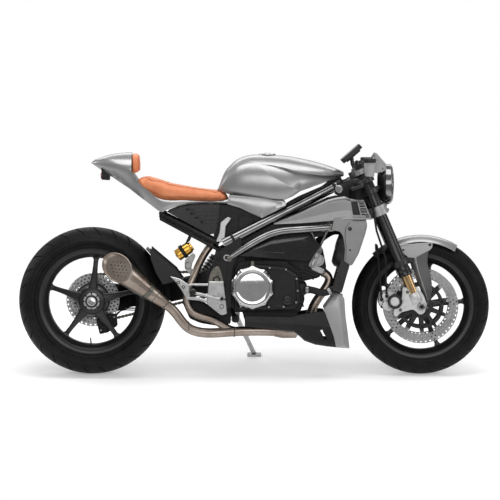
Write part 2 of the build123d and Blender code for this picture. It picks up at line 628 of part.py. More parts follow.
def pivot_plates():
    """Side plates with the swingarm pivot, the shock's cross tube and the side stand bracket."""
    plate = pivot_plate_blank()
    plate -= rod((540, -rail_y(540), rail_z(540)), (700, -rail_y(700), rail_z(700)), UPPER_RAIL_R + FIT_GAP)
    plate -= lower_rail_socket(FIT_GAP)
    left = mirror(plate, Plane.XZ)
    left -= chain_layer(CHAIN_ROOM, CHAIN_CHANNEL) - chain_layer(-CHAIN_ROOM, CHAIN_CHANNEL)
    left -= disc(*FRONT_SPROCKET, chain_radius(FRONT_TEETH) + 4, CHAIN_Y - CHAIN_CHANNEL / 2, PLATE_OUT + 1)
    left -= disc(*FRONT_SPROCKET, SPROCKET_STUB_R + 2, PLATE_IN - 1, PLATE_OUT + 1)
    plates = plate + left
    reach = PLATE_OUT + 4
    plates += disc(PIVOT[0], PIVOT[1], PIVOT_R, -reach, reach)
    plates += disc(SHOCK_TOP[0], SHOCK_TOP[1], SHOCK_TUBE_R, -PLATE_IN - 1, PLATE_IN + 1)
    for side in (-1, 1):
        plates += disc(SHOCK_TOP[0], SHOCK_TOP[1], SHOCK_TUBE_R + 4, side * PLATE_IN - 6, side * PLATE_IN + 6)
    return plates + stand_bracket()


def arm_x(share):
    """X at this share of the way from the rear axle to the pivot."""
    return REAR_X + share * (PIVOT[0] - REAR_X)


ARM_TOP = ((arm_x(0.276), REAR_Z + 62), (arm_x(0.552), REAR_Z + 72), (arm_x(0.792), REAR_Z + 104),
           (arm_x(0.92), PIVOT[1] + 44))    # upper edge of the beam, X and Z


def arm_top(x):
    """Height of the beam's upper edge."""
    for (x0, z0), (x1, z1) in zip(ARM_TOP, ARM_TOP[1:]):
        if x <= x1:
            break
    return z0 + (z1 - z0) * (x - x0) / (x1 - x0)


def swingarm():
    """Single-sided arm: cross yoke at the pivot, a beam on the left, and the hub carrier."""
    x, z = REAR_X, REAR_Z
    px, pz = PIVOT
    yoke = PLATE_IN - 2
    room = x + REAR["radius"] + 20
    top = plan([(x - 79, 50), (x - 79, 108), (x + 70, 110), (x + 126, 112), (x + 188, 144), (arm_x(0.626), 144),
                (arm_x(0.773), 118), (arm_x(0.895), yoke), (px + 57, yoke), (px + 57, -yoke), (px - 43, -yoke),
                (room + 80, -78), (room, -10), (room, 104), (x + 188, 104), (x + 150, 92), (x + 112, 50)],
               200, 520, 4)
    side = slab([(x, z + 78)] + list(ARM_TOP) + [(px + 33, pz + 40), (px + 41, pz - 18), (px + 23, pz - 46),
                (px - 63, pz - 66), (arm_x(0.608), pz - 106), (arm_x(0.276), z - 38), (x + 60, z - 66),
                (x, z - 78)], -200, 200)
    side += disc(x, z, ARM_HUB_R, -200, 200)
    arm = top & side
    arm -= disc(x, z, HUB_SHAFT_R + RUN_GAP, -1, 200)
    arm -= slab([(px - 145, 300), (px - 145, 500), (px + 77, 500), (px + 77, 300)], -ARM_WINDOW, ARM_WINDOW)
    arm += disc(*PIVOT, PIVOT_R + 8, -ARM_WINDOW - 1, ARM_WINDOW + 1)
    return arm - disc(*PIVOT, PIVOT_R + FIT_GAP, -200, 200)


def rear_caliper():
    """Caliper and its bracket, carried below the arm's hub."""
    x, y, z = REAR_X, REAR_DISC_Y, REAR_Z
    body = slab([(x + 14, z - 84), (x + 62, z - 58), (x + 104, z - 62), (x + 108, z - 112), (x + 66, z - 142),
                 (x + 30, z - 150)], y - 19, 50 - SEAT_GAP, 6)
    return body - disc(x, z, REAR_DISC_R + 5, y - 3, y + 5)


def engine_cases():
    """Crankcase with its flat lower joint and right-hand cover."""
    case = slab([(616, 276), (905, 278), (924, 330), (916, 410), (902, 470), (846, 504), (640, 500),
                 (618, 470), (614, 380)], -CASE_HALF, CASE_HALF, 10)
    case += slab([(634, 290), (880, 290), (905, 330), (898, 440), (840, 476), (700, 490), (628, 450)],
                 -RIGHT_COVER, -CASE_HALF, 12)
    case += slab([(640, 290), (870, 290), (896, 340), (886, 440), (820, 470), (700, 470), (690, 330)],
                 CASE_HALF, LEFT_COVER, 12)
    for k in range(5):
        z = 306 + 26 * k
        case += slab([(870, z), (921, z), (918, z + 7), (870, z + 7)], -CASE_HALF - 9, CASE_HALF + 9)
    return case


def cylinder_banks():
    """Front bank leaning forward and rear bank nearly upright, with their covers."""
    front = slab([(840, 490), (890, 460), (900, 405), (985, 426), (1018, 470), (1002, 552), (964, 582),
                  (936, 586)], -CASE_HALF, CASE_HALF)
    rear = slab([(652, 500), (850, 504), (770, 560), (764, 668), (748, 680), (648, 680), (632, 660)], -82, 82)
    banks = front + rear - engine_cases()
    for side in (-1, 1):
        y = side * (CASE_HALF + 8)
        banks += disc(983, 512, 30, y - 8, y + 8)
        banks += slab([(1000, 546), (976, 557), (938, 478), (962, 467)], y - 8, y + 8, 8)
    return banks


CLUTCH = (697.6, 388.0)


def clutch_cover():
    """Scalloped ring with a dished middle, outside the right-hand crankcase cover."""
    x, z = CLUTCH
    y = -RIGHT_COVER - SEAT_GAP
    ring = turned([(y, 0), (y, 90), (y - 26, 90), (y - 36, 80), (y - 36, 66), (y - 26, 58), (y - 26, 0)], x, z)
    for k in range(10):
        boss = Pos(0, y - 13, 86) * (Rot(90, 0, 0) * Cylinder(9, 26))
        ring += around(boss, x, z, 18 + 36 * k)
    return ring


def left_engine_covers():
    """Round generator cover."""
    x, z = 778.0, 376.0
    y = LEFT_COVER + SEAT_GAP
    return turned([(y, 0), (y, 74), (y + 24, 70), (y + 34, 52), (y + 34, 0)], x, z)


def airbox_covers():
    """Dark faceted side covers between the lower rails and the engine."""
    points = [(636, 520), (700, 560), (780, 590), (948, 610), (996, 566), (966, 530), (950, 500), (905, 500),
              (760, 512)]
    cover = slab(points, -152, -140, 5)
    return both(cover - lower_rail_socket(0))


def subframe():
    """Lower tubes up to the tail, with the upright strut each side."""
    tubes = rod((552, -112, 572), (300, -84, 702), 11) + rod((556, -120, 544), (300, -84, 680), 7)
    strut = slab([(538, 580), (556, 625), (563, 664), (590, 690), (604, 684), (584, 650), (576, 580)],
                 -132, -120, 3)
    strut -= rod((540, -rail_y(540), rail_z(540)), (640, -rail_y(640), rail_z(640)), UPPER_RAIL_R + FIT_GAP)
    side = (tubes + strut) - pivot_plate_blank()
    low, high = (Vector(*p) for p in RESERVOIR)
    way, middle = (high - low).normalized(), (low + high) / 2
    clamp = rod(middle - way * 8, middle + way * 8, RESERVOIR_R + 5) + rod(middle, (430, -101, 610), 7)
    clamp -= rod(low, high + way * 16, RESERVOIR_R + FIT_GAP)
    return Compound(children=[side + clamp, mirror(side, Plane.XZ)])


TAIL_STATIONS = (  # X, top, bottom, half width
    (0, 930, 914, 10), (33, 943, 896, 42), (76, 956, 869, 72), (120, 963, 840, 92), (177, 967, 806, 104))


def tail_section(x, top, bottom, half):
    """Closed section: domed top, swelling sides and a narrower keel."""
    mid = bottom + (top - bottom) * 0.55
    keel = half * 0.45
    plane = Plane(origin=(x, 0, 0), x_dir=(0, 1, 0), z_dir=(1, 0, 0))
    edges = [ThreePointArc((-half, mid), (0, top), (half, mid)), Line((half, mid), (keel, bottom)),
             Line((keel, bottom), (-keel, bottom)), Line((-keel, bottom), (-half, mid))]
    return plane * make_face(edges)


def tail_hump():
    return loft([tail_section(*s) for s in TAIL_STATIONS])


def tail_cowl():
    """Seat hump, the tray under the seat and the side skins that run to the frame rails."""
    hump = tail_hump()
    tray_side = slab([(177, 850), (190, 840), (207, 818), (251, 792), (294, 768), (318, 761), (574, 760),
                      (574, 744), (512, 748), (425, 744), (381, 735), (320, 712), (300, 712), (251, 745),
                      (207, 778), (177, 804)], -130, 130)
    tray_plan = plan([(177, -104), (300, -112), (420, -118), (574, -118), (574, 118), (420, 118), (300, 112),
                      (177, 104)], 700, 860)
    tray = tray_side & tray_plan
    tray -= slab([(330, 600), (330, 742), (600, 742), (600, 600)], -102, 102)
    skin = slab([(560, 760), (600, 783), (686, 774), (774, 758), (838, 752), (850, 744), (738, 692),
                 (686, 710), (643, 730), (578, 746), (560, 747)], -118, -112, 2)
    return hump + tray + both(skin)


def seat_pad():
    side = slab([(200, 846), (204, 858), (229, 861), (259, 857), (294, 846), (338, 831), (381, 822), (425, 815),
                 (469, 806), (547, 794), (588, 782), (590, 768), (574, 760 + SEAT_GAP), (318, 761 + SEAT_GAP),
                 (294, 768.4), (251, 792.4), (208, 818)], -130, 130)
    top = plan([(198, -96), (300, -110), (420, -112), (540, -92), (600, -78), (600, 78), (540, 92), (420, 112),
                (300, 110), (198, 96)], 700, 900, 10)
    return side & top


def tail_pad():
    back = TAIL_STATIONS[-1][0] + SEAT_GAP
    return slab([(back, 872), (back, 964), (208, 964), (210, 900), (206, 876)], -86, 86, 4)


TANK_STATIONS = (  # X, top, bottom, half width
    (552, 826, 802, 60), (578, 874, 797, 92), (612, 918, 790, 110), (680, 952, 781, 126),
    (800, 955, 768, 140), (910, 944, 786, 136), (1000, 918, 822, 108), (1060, 897, 850, 74), (1094, 878, 862, 44))


def tank_section(x, top, bottom, half):
    """Closed section: crowned top, full sides and a tucked-in foot."""
    height = top - bottom
    mid, foot = bottom + height * 0.42, half * 0.78
    plane = Plane(origin=(x, 0, 0), x_dir=(0, 1, 0), z_dir=(1, 0, 0))
    edges = [ThreePointArc((-half, mid), (0, top), (half, mid)), Line((half, mid), (foot, bottom)),
             Line((foot, bottom), (-foot, bottom)), Line((-foot, bottom), (-half, mid))]
    return plane * make_face(edges)


def fuel_tank():
    return loft([tank_section(*s) for s in TANK_STATIONS])


FUEL_CAP = (760.0, 956.5)


def fuel_cap():
    x, z = FUEL_CAP
    return rod((x, 0, z), (x, 0, z + 8), 34)


def seat_side_panels():
    panel = slab([(326, 712), (345, 720), (385, 734), (430, 743.8), (512, 747.7), (556, 744.8), (552, 676),
                  (536, 616), (508, 612)], -101, -92)
    for z in (718, 700, 678):
        panel += slab([(420, z - 3), (544, z - 3), (540, z + 4), (430, z + 4)], -105, -101)
    return both(panel)


def tail_lamp():
    return slab([(41, 900), (43, 848), (76, 846), (80, 900)], -42, 42) - tail_hump()


def shock_absorber():
    """Spring and damper unit from the swingarm's window to the cross tube."""
    low, high = Vector(SHOCK_BOTTOM[0], 0, SHOCK_BOTTOM[1]), Vector(SHOCK_TOP[0], 0, SHOCK_TOP[1])
    way = (high - low).normalized()
    length = (high - low).length
    body = rod(low, high, 15) + disc(*SHOCK_BOTTOM, 10, -ARM_WINDOW + SEAT_GAP, ARM_WINDOW - SEAT_GAP)
    body += disc(*SHOCK_TOP, SHOCK_TUBE_R + 9, -17, 17)
    wire_r, turns = 5.5, 8
    for k in range(turns):
        at = low + way * (46 + (length - 88) * k / (turns - 1))
        body += Plane(origin=at, z_dir=way) * Cylinder(SPRING_R, 2 * wire_r)
    for at in (low + way * 34, high - way * 38):
        body += rod(at - way * 5, at + way * 5, SPRING_R + 2)
    return body - disc(*SHOCK_TOP, SHOCK_TUBE_R + FIT_GAP, -20, 20)


def shock_reservoir():
    """Remote reservoir with its end cap, held in the subframe's clamp."""
    low, high = (Vector(*p) for p in RESERVOIR)
    way = (high - low).normalized()
    return rod(low, high, RESERVOIR_R) + rod(high, high + way * 12, RESERVOIR_R - 6)


def rear_hugger():
    """Short inner mudguard over the front of the rear tyre, with cheeks that stand on the arm."""
    r = REAR["radius"]
    guard = ring_sector(REAR_X, REAR_Z, r + 8, r + 11, 104, 16, 44)
    back, front = REAR_X + r - 10, REAR_X + r + 76
    rest = [back] + [x for x, z in ARM_TOP if back < x < front] + [front]
    edge = [(REAR_X + (r + out) * cos(radians(a)), REAR_Z + (r + out) * sin(radians(a)))
            for a, out in ((21, 72), (31.8, 41), (42.6, 26), (35.6, -3), (23.8, -14))]
    cheek = slab([(x, arm_top(x) + SEAT_GAP) for x in rest] + edge, -108, -104, 2)
    return guard + both(cheek)


RADIATOR_HALF = 150.0


def radiator():
    """Tilted radiator core between side tanks, with the oil cooler below."""
    plane = Plane(origin=(1098, 0, 490), x_dir=(0, 1, 0), z_dir=(cos(radians(16)), 0, -sin(radians(16))))
    half = RADIATOR_HALF
    x, y, z = LOWER_RAIL[2]
    core = plane * Box(2 * half - 64, 280, 34)
    for k in range(13):
        for face in (-17, 17):
            core -= plane * (Pos(0, -126 + 21 * k, face) * Box(2 * half - 84, 9, 10))
    for side in (-1, 1):
        core += plane * (Pos(side * (half - 16), 10, 0) * Box(32, 270, 42))
        core += rod((x + 1 + SEAT_GAP, side * y, z), (x + 14, side * y, z), 7)
        core += rod((x + 10, side * y, z), (1124, side * y, 606), 7)
    return core


def fairing_panels():
    """Painted side shields: the upper panel under the rail and the leaf beside the radiator."""
    upper = slab([(790, 660), (900, 708), (1026, 766), (1094, 779), (1131, 764), (1175, 762), (1213, 678),
                  (1123, 680), (1044, 674), (905, 662)], -220, -80)
    for z in (696, 712, 728, 744):
        upper -= slab([(1124, z), (1182, z), (1189, z + 8), (1131, z + 8)], -220, -80)
    band = plan([(780, -122), (1040, -156), (1220, -172), (1220, -178), (1040, -162), (780, -128)], 600, 800)
    leaf = slab([(1050, 690), (1123, 700), (1184, 700), (1192, 654), (1184, 619), (1131, 488), (1122, 480),
                 (1092, 501), (1096, 554), (1088, 606), (1075, 628), (1038, 634)], -174, -167, 3)
    stay = rod((1118, -170, 560), (1118, -RADIATOR_HALF - SEAT_GAP, 560), 6)
    return both((upper & band) + leaf + stay)


def belly_pan():
    """Shell under the engine, open above and behind, with a slot each side."""
    side = slab([(664, 262), (861, 257), (905, 268), (992, 281), (1009, 277), (1035, 227), (1055, 170),
                 (1064, 124), (992, 131), (953, 140), (926, 152), (880, 196), (664, 214)],
                -CASE_HALF - 22, CASE_HALF + 22)
    back, middle, front = CASE_HALF + 16, CASE_HALF + 20, CASE_HALF + 10
    keep = plan([(664, -back), (905, -middle), (1066, -front), (1066, front), (905, middle), (664, back)],
                100, 300)
    inner = slab([(600, 320), (1100, 320), (1046, 227), (1060, 128), (1040, 132), (992, 136), (953, 145),
                  (928, 158), (880, 150), (600, 150)], -CASE_HALF - 11, CASE_HALF + 11)
    pan = (side & keep) - inner
    slot = slab([(990, 202), (1000, 200), (1018, 160), (1010, 156)], -140, 140, 2)
    for side in (-1, 1):
        pan += Pos(750, side * (CASE_HALF + 7), 268) * Box(24, 14 - 2 * SEAT_GAP, 36)
    return pan - slot


def chin_panels():
    cheek = slab([(1062, 364), (1095, 340), (1101, 257), (1110, 192), (1118, 120), (1058, 124), (1048, 170),
                  (1028, 227), (1004, 290), (1035, 331)], -CASE_HALF - 17, -CASE_HALF - 11)
    return both(cheek) - belly_pan()


def exhaust_pipes():
    """Two front and two rear headers that meet in the collector, and the link pipe to the muffler."""
    system = pipe([(830, -70, 190), (600, -96, 190), (414, -126, 214), (350, -149, 292), MUFFLER_START], 21, 55)
    system += rod((800, -66, 190), (880, -40, 190), 30)
    for y in (-58, 58):
        port = (1001.5 + 0.8 * SEAT_GAP, y, 448 - 0.6 * SEAT_GAP)
        system += pipe([port, (1025, y, 430.4), (966, y, 300), (930, y * 0.8, 200), (850, -50, 190)], 17, 28)
    system += pipe([(626, -60, 610), (560, -70, 596), (470, -100, 490), (430, -124, 400), (412, -126, 330),
                    (440, -126, 276), (520, -112, 246), (590, -92, 206), (700, -80, 190)], 16, 28)
    return system


MUFFLER_START = (322, -159, 314)
MUFFLER_WAY = Vector(-0.757, -0.27, 0.595).normalized()
MUFFLER_LENGTH = 262.0       # along the middle line, to the mouth
MUFFLER_NECK_R, MOUTH_R, MUFFLER_WALL = 30.0, 55.0, 3.0
MOUTH_TILT = 45.0            # the mouth's face is turned outward by this angle
HOLE_PITCH, HOLE_R = 17.0, 4.5


def muffler():
    """Megaphone cut off aslant, with a drilled plate set into its mouth."""
    start = Vector(*MUFFLER_START) + MUFFLER_WAY * SEAT_GAP
    neck, mouth = start + MUFFLER_WAY * 60, start + MUFFLER_WAY * MUFFLER_LENGTH
    past = MOUTH_R * 1.5
    flare = (MOUTH_R - MUFFLER_NECK_R) / (mouth - neck).length
    end, end_r = mouth + MUFFLER_WAY * past, MOUTH_R + flare * past
    body = rod(start, neck, 21, MUFFLER_NECK_R) + rod(neck, end, MUFFLER_NECK_R, end_r)
    inside = rod(neck, end, MUFFLER_NECK_R - MUFFLER_WALL, end_r - MUFFLER_WALL)
    up = MUFFLER_WAY.cross(Vector(0, 1, 0)).normalized()
    outward = MUFFLER_WAY.cross(up).normalized()
    tilt = radians(MOUTH_TILT)
    face = Plane(origin=mouth, x_dir=up, z_dir=MUFFLER_WAY * cos(tilt) + outward * sin(tilt))
    beyond = Box(600, 600, 300, align=(Align.CENTER, Align.CENTER, Align.MIN))
    body -= face * beyond
    body -= inside & (face * (Pos(0, 0, -8) * beyond))
    across, along = MOUTH_R - 12, (MOUTH_R - 14) / cos(tilt)
    for row in range(-4, 5):
        for column in range(-3, 4):
            x, y = HOLE_PITCH * (column + 0.5 * (row % 2)), HOLE_PITCH * 0.87 * row
            if (x / across) ** 2 + (y / along) ** 2 < 0.8:
                body -= face * (Pos(x, y, -10) * Cylinder(HOLE_R, 12))
    return body


def footrests():
    """Right and left hangers with pegs, lightened by a window and two holes, and the pedals beside them."""
    hanger = slab([(508, 398), (578, 398), (584, 330), (588, 270), (560, 264), (530, 290), (484, 322),
                   (410, 334), (398, 368), (340, 434), (380, 424), (430, 396), (470, 396)],
                  -PLATE_OUT - 12, -PLATE_OUT - SEAT_GAP, 3)
    hanger -= slab([(462, 384), (500, 384), (500, 342), (476, 344)], -PLATE_OUT - 20, -PLATE_OUT + 10, 4)
    for x, z in ((378, 408), (400, 388)):
        hanger -= disc(x, z, 6, -PLATE_OUT - 20, -PLATE_OUT + 10)
    pedal = slab([(430, 352), (450, 352), (548, 330), (574, 336), (572, 346), (548, 342), (450, 374), (430, 374)],
                 -PLATE_OUT - 19, -PLATE_OUT - 12, 3)
    pedal += rod((566, -PLATE_OUT - 13, 339), (566, -PLATE_OUT - 54, 339), 7)
    peg = rod((440, -PLATE_OUT - 12, 366), (440, -PLATE_OUT - 90, 366), 11)
    return both(hanger + pedal + peg)


# Side stand: the foot lies flat on the floor when the machine leans

STAND_AXIS = Vector(0.10, 0.815, 0.57).normalized()


def lean_back(p):
    """A point of the parked machine, before the shift to its origin, in the upright frame."""
    x, y, z = p
    return Vector(x, y * COS_LEAN - z * SIN_LEAN, y * SIN_LEAN + z * COS_LEAN)


STAND_FOOT = (706.0, 318.0)    # foot centre on the floor, X and Y, in the leaning frame


def side_stand():
    pivot = Vector(*STAND_PIVOT)
    foot = lean_back((STAND_FOOT[0], STAND_FOOT[1], 9))
    boss = rod(pivot - STAND_AXIS * STAND_BOSS, pivot + STAND_AXIS * STAND_BOSS, 17)
    legrod = rod(pivot, foot, 12, 10)
    pad = Rot(LEAN, 0, 0) * (Pos(STAND_FOOT[0], STAND_FOOT[1], 5) * Box(62, 40, 10))
    stand = boss + legrod + pad
    return stand - rod(pivot - STAND_AXIS * 20, pivot + STAND_AXIS * 20, 6 + RUN_GAP)


def stand_bracket():
    pivot = Vector(*STAND_PIVOT)
    block = rod(pivot - STAND_AXIS * 30, pivot - STAND_AXIS * 10, 17)
    block += rod(pivot - STAND_AXIS * 23, (590, 128, 306), 13)
    block -= rod(pivot - STAND_AXIS * (STAND_BOSS + SEAT_GAP), pivot + STAND_AXIS * 40, 26)
    return block + rod(pivot - STAND_AXIS * 20, pivot + STAND_AXIS * (STAND_BOSS + 4), 6)


def rear_disc():
    y = REAR_DISC_Y + 1
    ring = brake_disc(REAR_X, REAR_Z, REAR_DISC_R, REAR_BAND, y, 16)
    return ring + disc_carrier(REAR_X, REAR_Z, 60 + SEAT_GAP, REAR_DISC_R - REAR_BAND + 4, y, 8)


def front_discs():
    return Compound(children=[brake_disc(FRONT_X, FRONT_Z, FRONT_DISC_R, FRONT_BAND, side * FRONT_DISC_Y, 20)
                              for side in (-1, 1)])


# Every node by name, with what makes it
MAKERS = {
    "rear_tyre": lambda: tyre(REAR, REAR_X, REAR_Z),
    "rear_rim": rear_rim,
    "rear_disc": rear_disc,
    "rear_hub": rear_hub,
    "rear_sprocket": lambda: sprocket(REAR_X, REAR_Z, REAR_TEETH, 44 + SEAT_GAP, 6),
    "drive_chain": chain,
    "front_sprocket": front_sprocket,
    "front_tyre": lambda: tyre(FRONT, FRONT_X, FRONT_Z),
    "front_rim": front_rim,
    "front_discs": front_discs,
    "axle_carriers": axle_carriers,
    "front_calipers": front_calipers,
    "fork_sliders": fork_sliders,
    "fork_tubes": fork_tubes,
    "triple_clamps": triple_clamps,
    "clip_ons": clip_ons,
    "grips": grips,
    "brake_levers": brake_levers,
    "brake_hoses": brake_hoses,
    "headlamp_shell": headlamp_shell,
    "headlamp_lens": headlamp_lens,
    "instrument": instrument,
    "front_mudguard": front_mudguard,
    "steering_head": steering_head,
    "upper_rails": upper_rails,
    "lower_rails": lower_rails,
    "pivot_plates": pivot_plates,
    "swingarm": swingarm,
    "rear_caliper": rear_caliper,
    "engine_cases": engine_cases,
    "cylinder_banks": cylinder_banks,
    "clutch_cover": clutch_cover,
    "left_engine_covers": left_engine_covers,
    "airbox_covers": airbox_covers,
    "subframe": subframe,
    "tail_cowl": tail_cowl,
    "seat_pad": seat_pad,
    "tail_pad": tail_pad,
    "tail_lamp": tail_lamp,
    "seat_side_panels": seat_side_panels,
    "fuel_tank": fuel_tank,
    "fuel_cap": fuel_cap,
    "shock_absorber": shock_absorber,
    "shock_reservoir": shock_reservoir,
    "rear_hugger": rear_hugger,
    "radiator": radiator,
    "fairing_panels": fairing_panels,
    "belly_pan": belly_pan,
    "chin_panels": chin_panels,
    "exhaust_pipes": exhaust_pipes,
    "muffler": muffler,
    "footrests": footrests,
    "side_stand": side_stand,
}

os.makedirs("parts", exist_ok=True)
for name, make in MAKERS.items():
    export_step(park(make()), f"parts/{name}.step")
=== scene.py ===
import json
from math import cos, pi, radians, sin

import bmesh
import bpy
import numpy as np
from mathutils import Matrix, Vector
from mathutils.bvhtree import BVHTree


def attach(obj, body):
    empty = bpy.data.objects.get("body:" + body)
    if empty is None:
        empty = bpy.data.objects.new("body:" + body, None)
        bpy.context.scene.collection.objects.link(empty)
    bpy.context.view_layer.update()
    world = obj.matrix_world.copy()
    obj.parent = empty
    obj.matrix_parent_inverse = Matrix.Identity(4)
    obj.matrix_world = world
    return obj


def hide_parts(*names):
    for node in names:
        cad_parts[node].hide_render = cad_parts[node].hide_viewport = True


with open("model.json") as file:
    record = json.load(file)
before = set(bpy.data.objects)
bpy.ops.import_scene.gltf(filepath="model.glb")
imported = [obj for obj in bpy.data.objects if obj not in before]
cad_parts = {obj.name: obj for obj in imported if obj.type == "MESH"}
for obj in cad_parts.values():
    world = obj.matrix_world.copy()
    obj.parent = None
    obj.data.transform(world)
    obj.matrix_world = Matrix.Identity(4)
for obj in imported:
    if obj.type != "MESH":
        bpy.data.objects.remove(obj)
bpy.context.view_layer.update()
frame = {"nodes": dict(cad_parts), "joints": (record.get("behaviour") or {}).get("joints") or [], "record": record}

MM = 0.001

# The motorcycle's own axes, upright, taken from the wheel joints: X forward, Y to the left, Z up
JOINTS = {joint["name"]: joint for joint in frame["joints"]}
SIDE = Vector(JOINTS["rear_wheel_spin"]["axis"]).normalized()
AHEAD = Vector((1.0, 0.0, 0.0))
UP = AHEAD.cross(SIDE)
REAR_AXLE = Vector(JOINTS["rear_wheel_spin"]["pos_m"])
ORIGIN = REAR_AXLE - UP * (REAR_AXLE.z / UP.z)
AXES = np.array([AHEAD, SIDE, UP])
RIGHT = (0, -1, 0)      # outward on the side that the photograph shows


def to_row(points):
    """Points of the upright motorcycle in millimetres, as metres in the row frame."""
    return np.asarray(points, float) @ AXES * MM + np.array(ORIGIN)


# Materials

def nodes_of(name):
    """A new node material: its node tree, its shader and its Object coordinates."""
    material = bpy.data.materials.new(name)
    material.use_nodes = True
    tree = material.node_tree
    shader = tree.nodes["Principled BSDF"]
    place = tree.nodes.new("ShaderNodeTexCoord").outputs["Object"]
    return material, tree, shader, place


def noise(tree, place, scale, detail=4.0, rough=0.6, stretch=(1, 1, 1)):
    """A noise value over Object coordinates, stretched along the axes."""
    mapping = tree.nodes.new("ShaderNodeMapping")
    mapping.inputs["Scale"].default_value = stretch
    tree.links.new(place, mapping.inputs["Vector"])
    node = tree.nodes.new("ShaderNodeTexNoise")
    node.inputs["Scale"].default_value = scale
    node.inputs["Detail"].default_value = detail
    node.inputs["Roughness"].default_value = rough
    tree.links.new(mapping.outputs["Vector"], node.inputs["Vector"])
    return node.outputs["Fac"]


def spread(tree, value, low, high, start=0.3, end=0.7):
    """A value from start to end, mapped to low to high."""
    node = tree.nodes.new("ShaderNodeMapRange")
    tree.links.new(value, node.inputs["Value"])
    for label, number in (("From Min", start), ("From Max", end), ("To Min", low), ("To Max", high)):
        node.inputs[label].default_value = number
    return node.outputs["Result"]


def blend_colours(tree, value, low, high):
    """Two colours mixed by a value."""
    node = tree.nodes.new("ShaderNodeMix")
    node.data_type = "RGBA"
    tree.links.new(value, node.inputs["Factor"])
    node.inputs["A"].default_value = (*colour(low), 1)
    node.inputs["B"].default_value = (*colour(high), 1)
    return node.outputs["Result"]


def raise_by(tree, shader, height, distance, strength=1.0):
    """Bump by a height value."""
    node = tree.nodes.new("ShaderNodeBump")
    node.inputs["Distance"].default_value = distance
    node.inputs["Strength"].default_value = strength
    tree.links.new(height, node.inputs["Height"])
    tree.links.new(node.outputs["Normal"], shader.inputs["Normal"])


def colour(value):
    """A colour from its three parts, or a grey from one number."""
    return tuple(np.broadcast_to(value, 3).tolist())


def finish(name, dark, light, metal=0.0, rough=(0.3, 0.4), scale=14.0, grain=900.0, depth=0.00004, coat=0.0,
        stretch=(1, 1, 1), shine=0.5):
    """A paint, plastic or metal: two close colours in slow clouds, uneven gloss and a fine grain."""
    material, tree, shader, place = nodes_of(name)
    clouds = noise(tree, place, scale)
    tree.links.new(blend_colours(tree, spread(tree, clouds, 0, 1), dark, light), shader.inputs["Base Color"])
    gloss = noise(tree, place, scale * 3.1, stretch=stretch)
    tree.links.new(spread(tree, gloss, *rough), shader.inputs["Roughness"])
    shader.inputs["Metallic"].default_value = metal
    shader.inputs["Specular IOR Level"].default_value = shine
    shader.inputs["Coat Weight"].default_value = coat
    shader.inputs["Coat Roughness"].default_value = 0.12
    raise_by(tree, shader, noise(tree, place, grain, 2.0, stretch=stretch), depth)
    return material


PAINT = finish("satin_silver_paint", 0.30, 0.36, 0.75, (0.30, 0.38), 5, 2600, 0.00002, 0.35)
# The silver paint made darker: painted shade, for the fairing panels, the fairing leaves and the lamp brackets.
PAINTED_SHADE_SILVER = finish("silver_paint_painted_shade", 0.17, 0.22, 0.75, (0.30, 0.38), 5, 2600, 0.00002, 0.3)
# The silver paint made darker still: deeper painted shade, for the mudguard blades and the fairing slats.
DEEP_PAINTED_SHADE_SILVER = finish("silver_paint_deep_painted_shade", 0.08, 0.11, 0.75, (0.30, 0.38), 5, 2600, 0.00002, 0.3)
BLACK_PAINT = finish("satin_black_paint", 0.006, 0.012, 0.0, (0.30, 0.42), 20, 1200, 0.00003, 0.1, shine=0.4)
CAST_BLACK = finish("cast_black", 0.003, 0.008, 0.0, (0.34, 0.5), 30, 700, 0.0002, shine=0.25)
TYRE_RUBBER = finish("tyre_rubber", 0.003, 0.008, 0.0, (0.45, 0.62), 26, 800, 0.0002, shine=0.13)
GLOSS_BLACK = finish("satin_black_lacquer", 0.003, 0.007, 0.0, (0.2, 0.3), 20, 1200, 0.00004, shine=0.4)
RUBBER = finish("soft_rubber", 0.005, 0.010, 0.0, (0.55, 0.7), 30, 900, 0.0001, shine=0.3)
PLASTIC = finish("moulded_black_plastic", 0.006, 0.011, 0.0, (0.36, 0.5), 30, 1500, 0.00006, shine=0.35)
POLISHED = finish("polished_aluminium", 0.17, 0.24, 1.0, (0.12, 0.2), 30, 1500, 0.00003)
SATIN = finish("satin_aluminium", 0.34, 0.46, 1.0, (0.26, 0.38), 30, 1600, 0.00006)
CAST_GREY = finish("cast_aluminium", 0.28, 0.38, 0.9, (0.42, 0.55), 30, 900, 0.0002)
BRIGHT_CAST = finish("bright_cast_aluminium", 0.46, 0.56, 0.9, (0.38, 0.5), 30, 900, 0.0002)
STEEL = finish("ground_steel", 0.26, 0.36, 1.0, (0.28, 0.42), 60, 2200, 0.00004)
DARK_STEEL = finish("oiled_steel", (0.10, 0.095, 0.085), (0.17, 0.16, 0.14), 1.0, (0.3, 0.5), 90, 2200, 0.0001)
CHROME = finish("chrome", 0.45, 0.52, 1.0, (0.05, 0.11), 30, 900, 0.00001)
BRONZE = finish("bronze_coating", (0.30, 0.19, 0.09), (0.40, 0.27, 0.14), 1.0, (0.16, 0.26), 30, 1500, 0.00002)
GOLD = finish("gold_anodised", (0.62, 0.33, 0.05), (0.78, 0.45, 0.10), 1.0, (0.2, 0.3), 30, 1500, 0.00002)
TITANIUM = finish("heat_tinted_titanium", (0.21, 0.165, 0.135), (0.38, 0.33, 0.29), 1.0, (0.24, 0.42), 9, 1500,
    0.00005)
LEATHER = finish("tan_leather", (0.68, 0.20, 0.075), (0.80, 0.29, 0.13), 0.0, (0.42, 0.55), 16, 420, 0.0008)
GLASS_GREY = finish("display_glass", 0.01, 0.02, 0.0, (0.06, 0.1), 20, 900, 0.00001, 0.6)

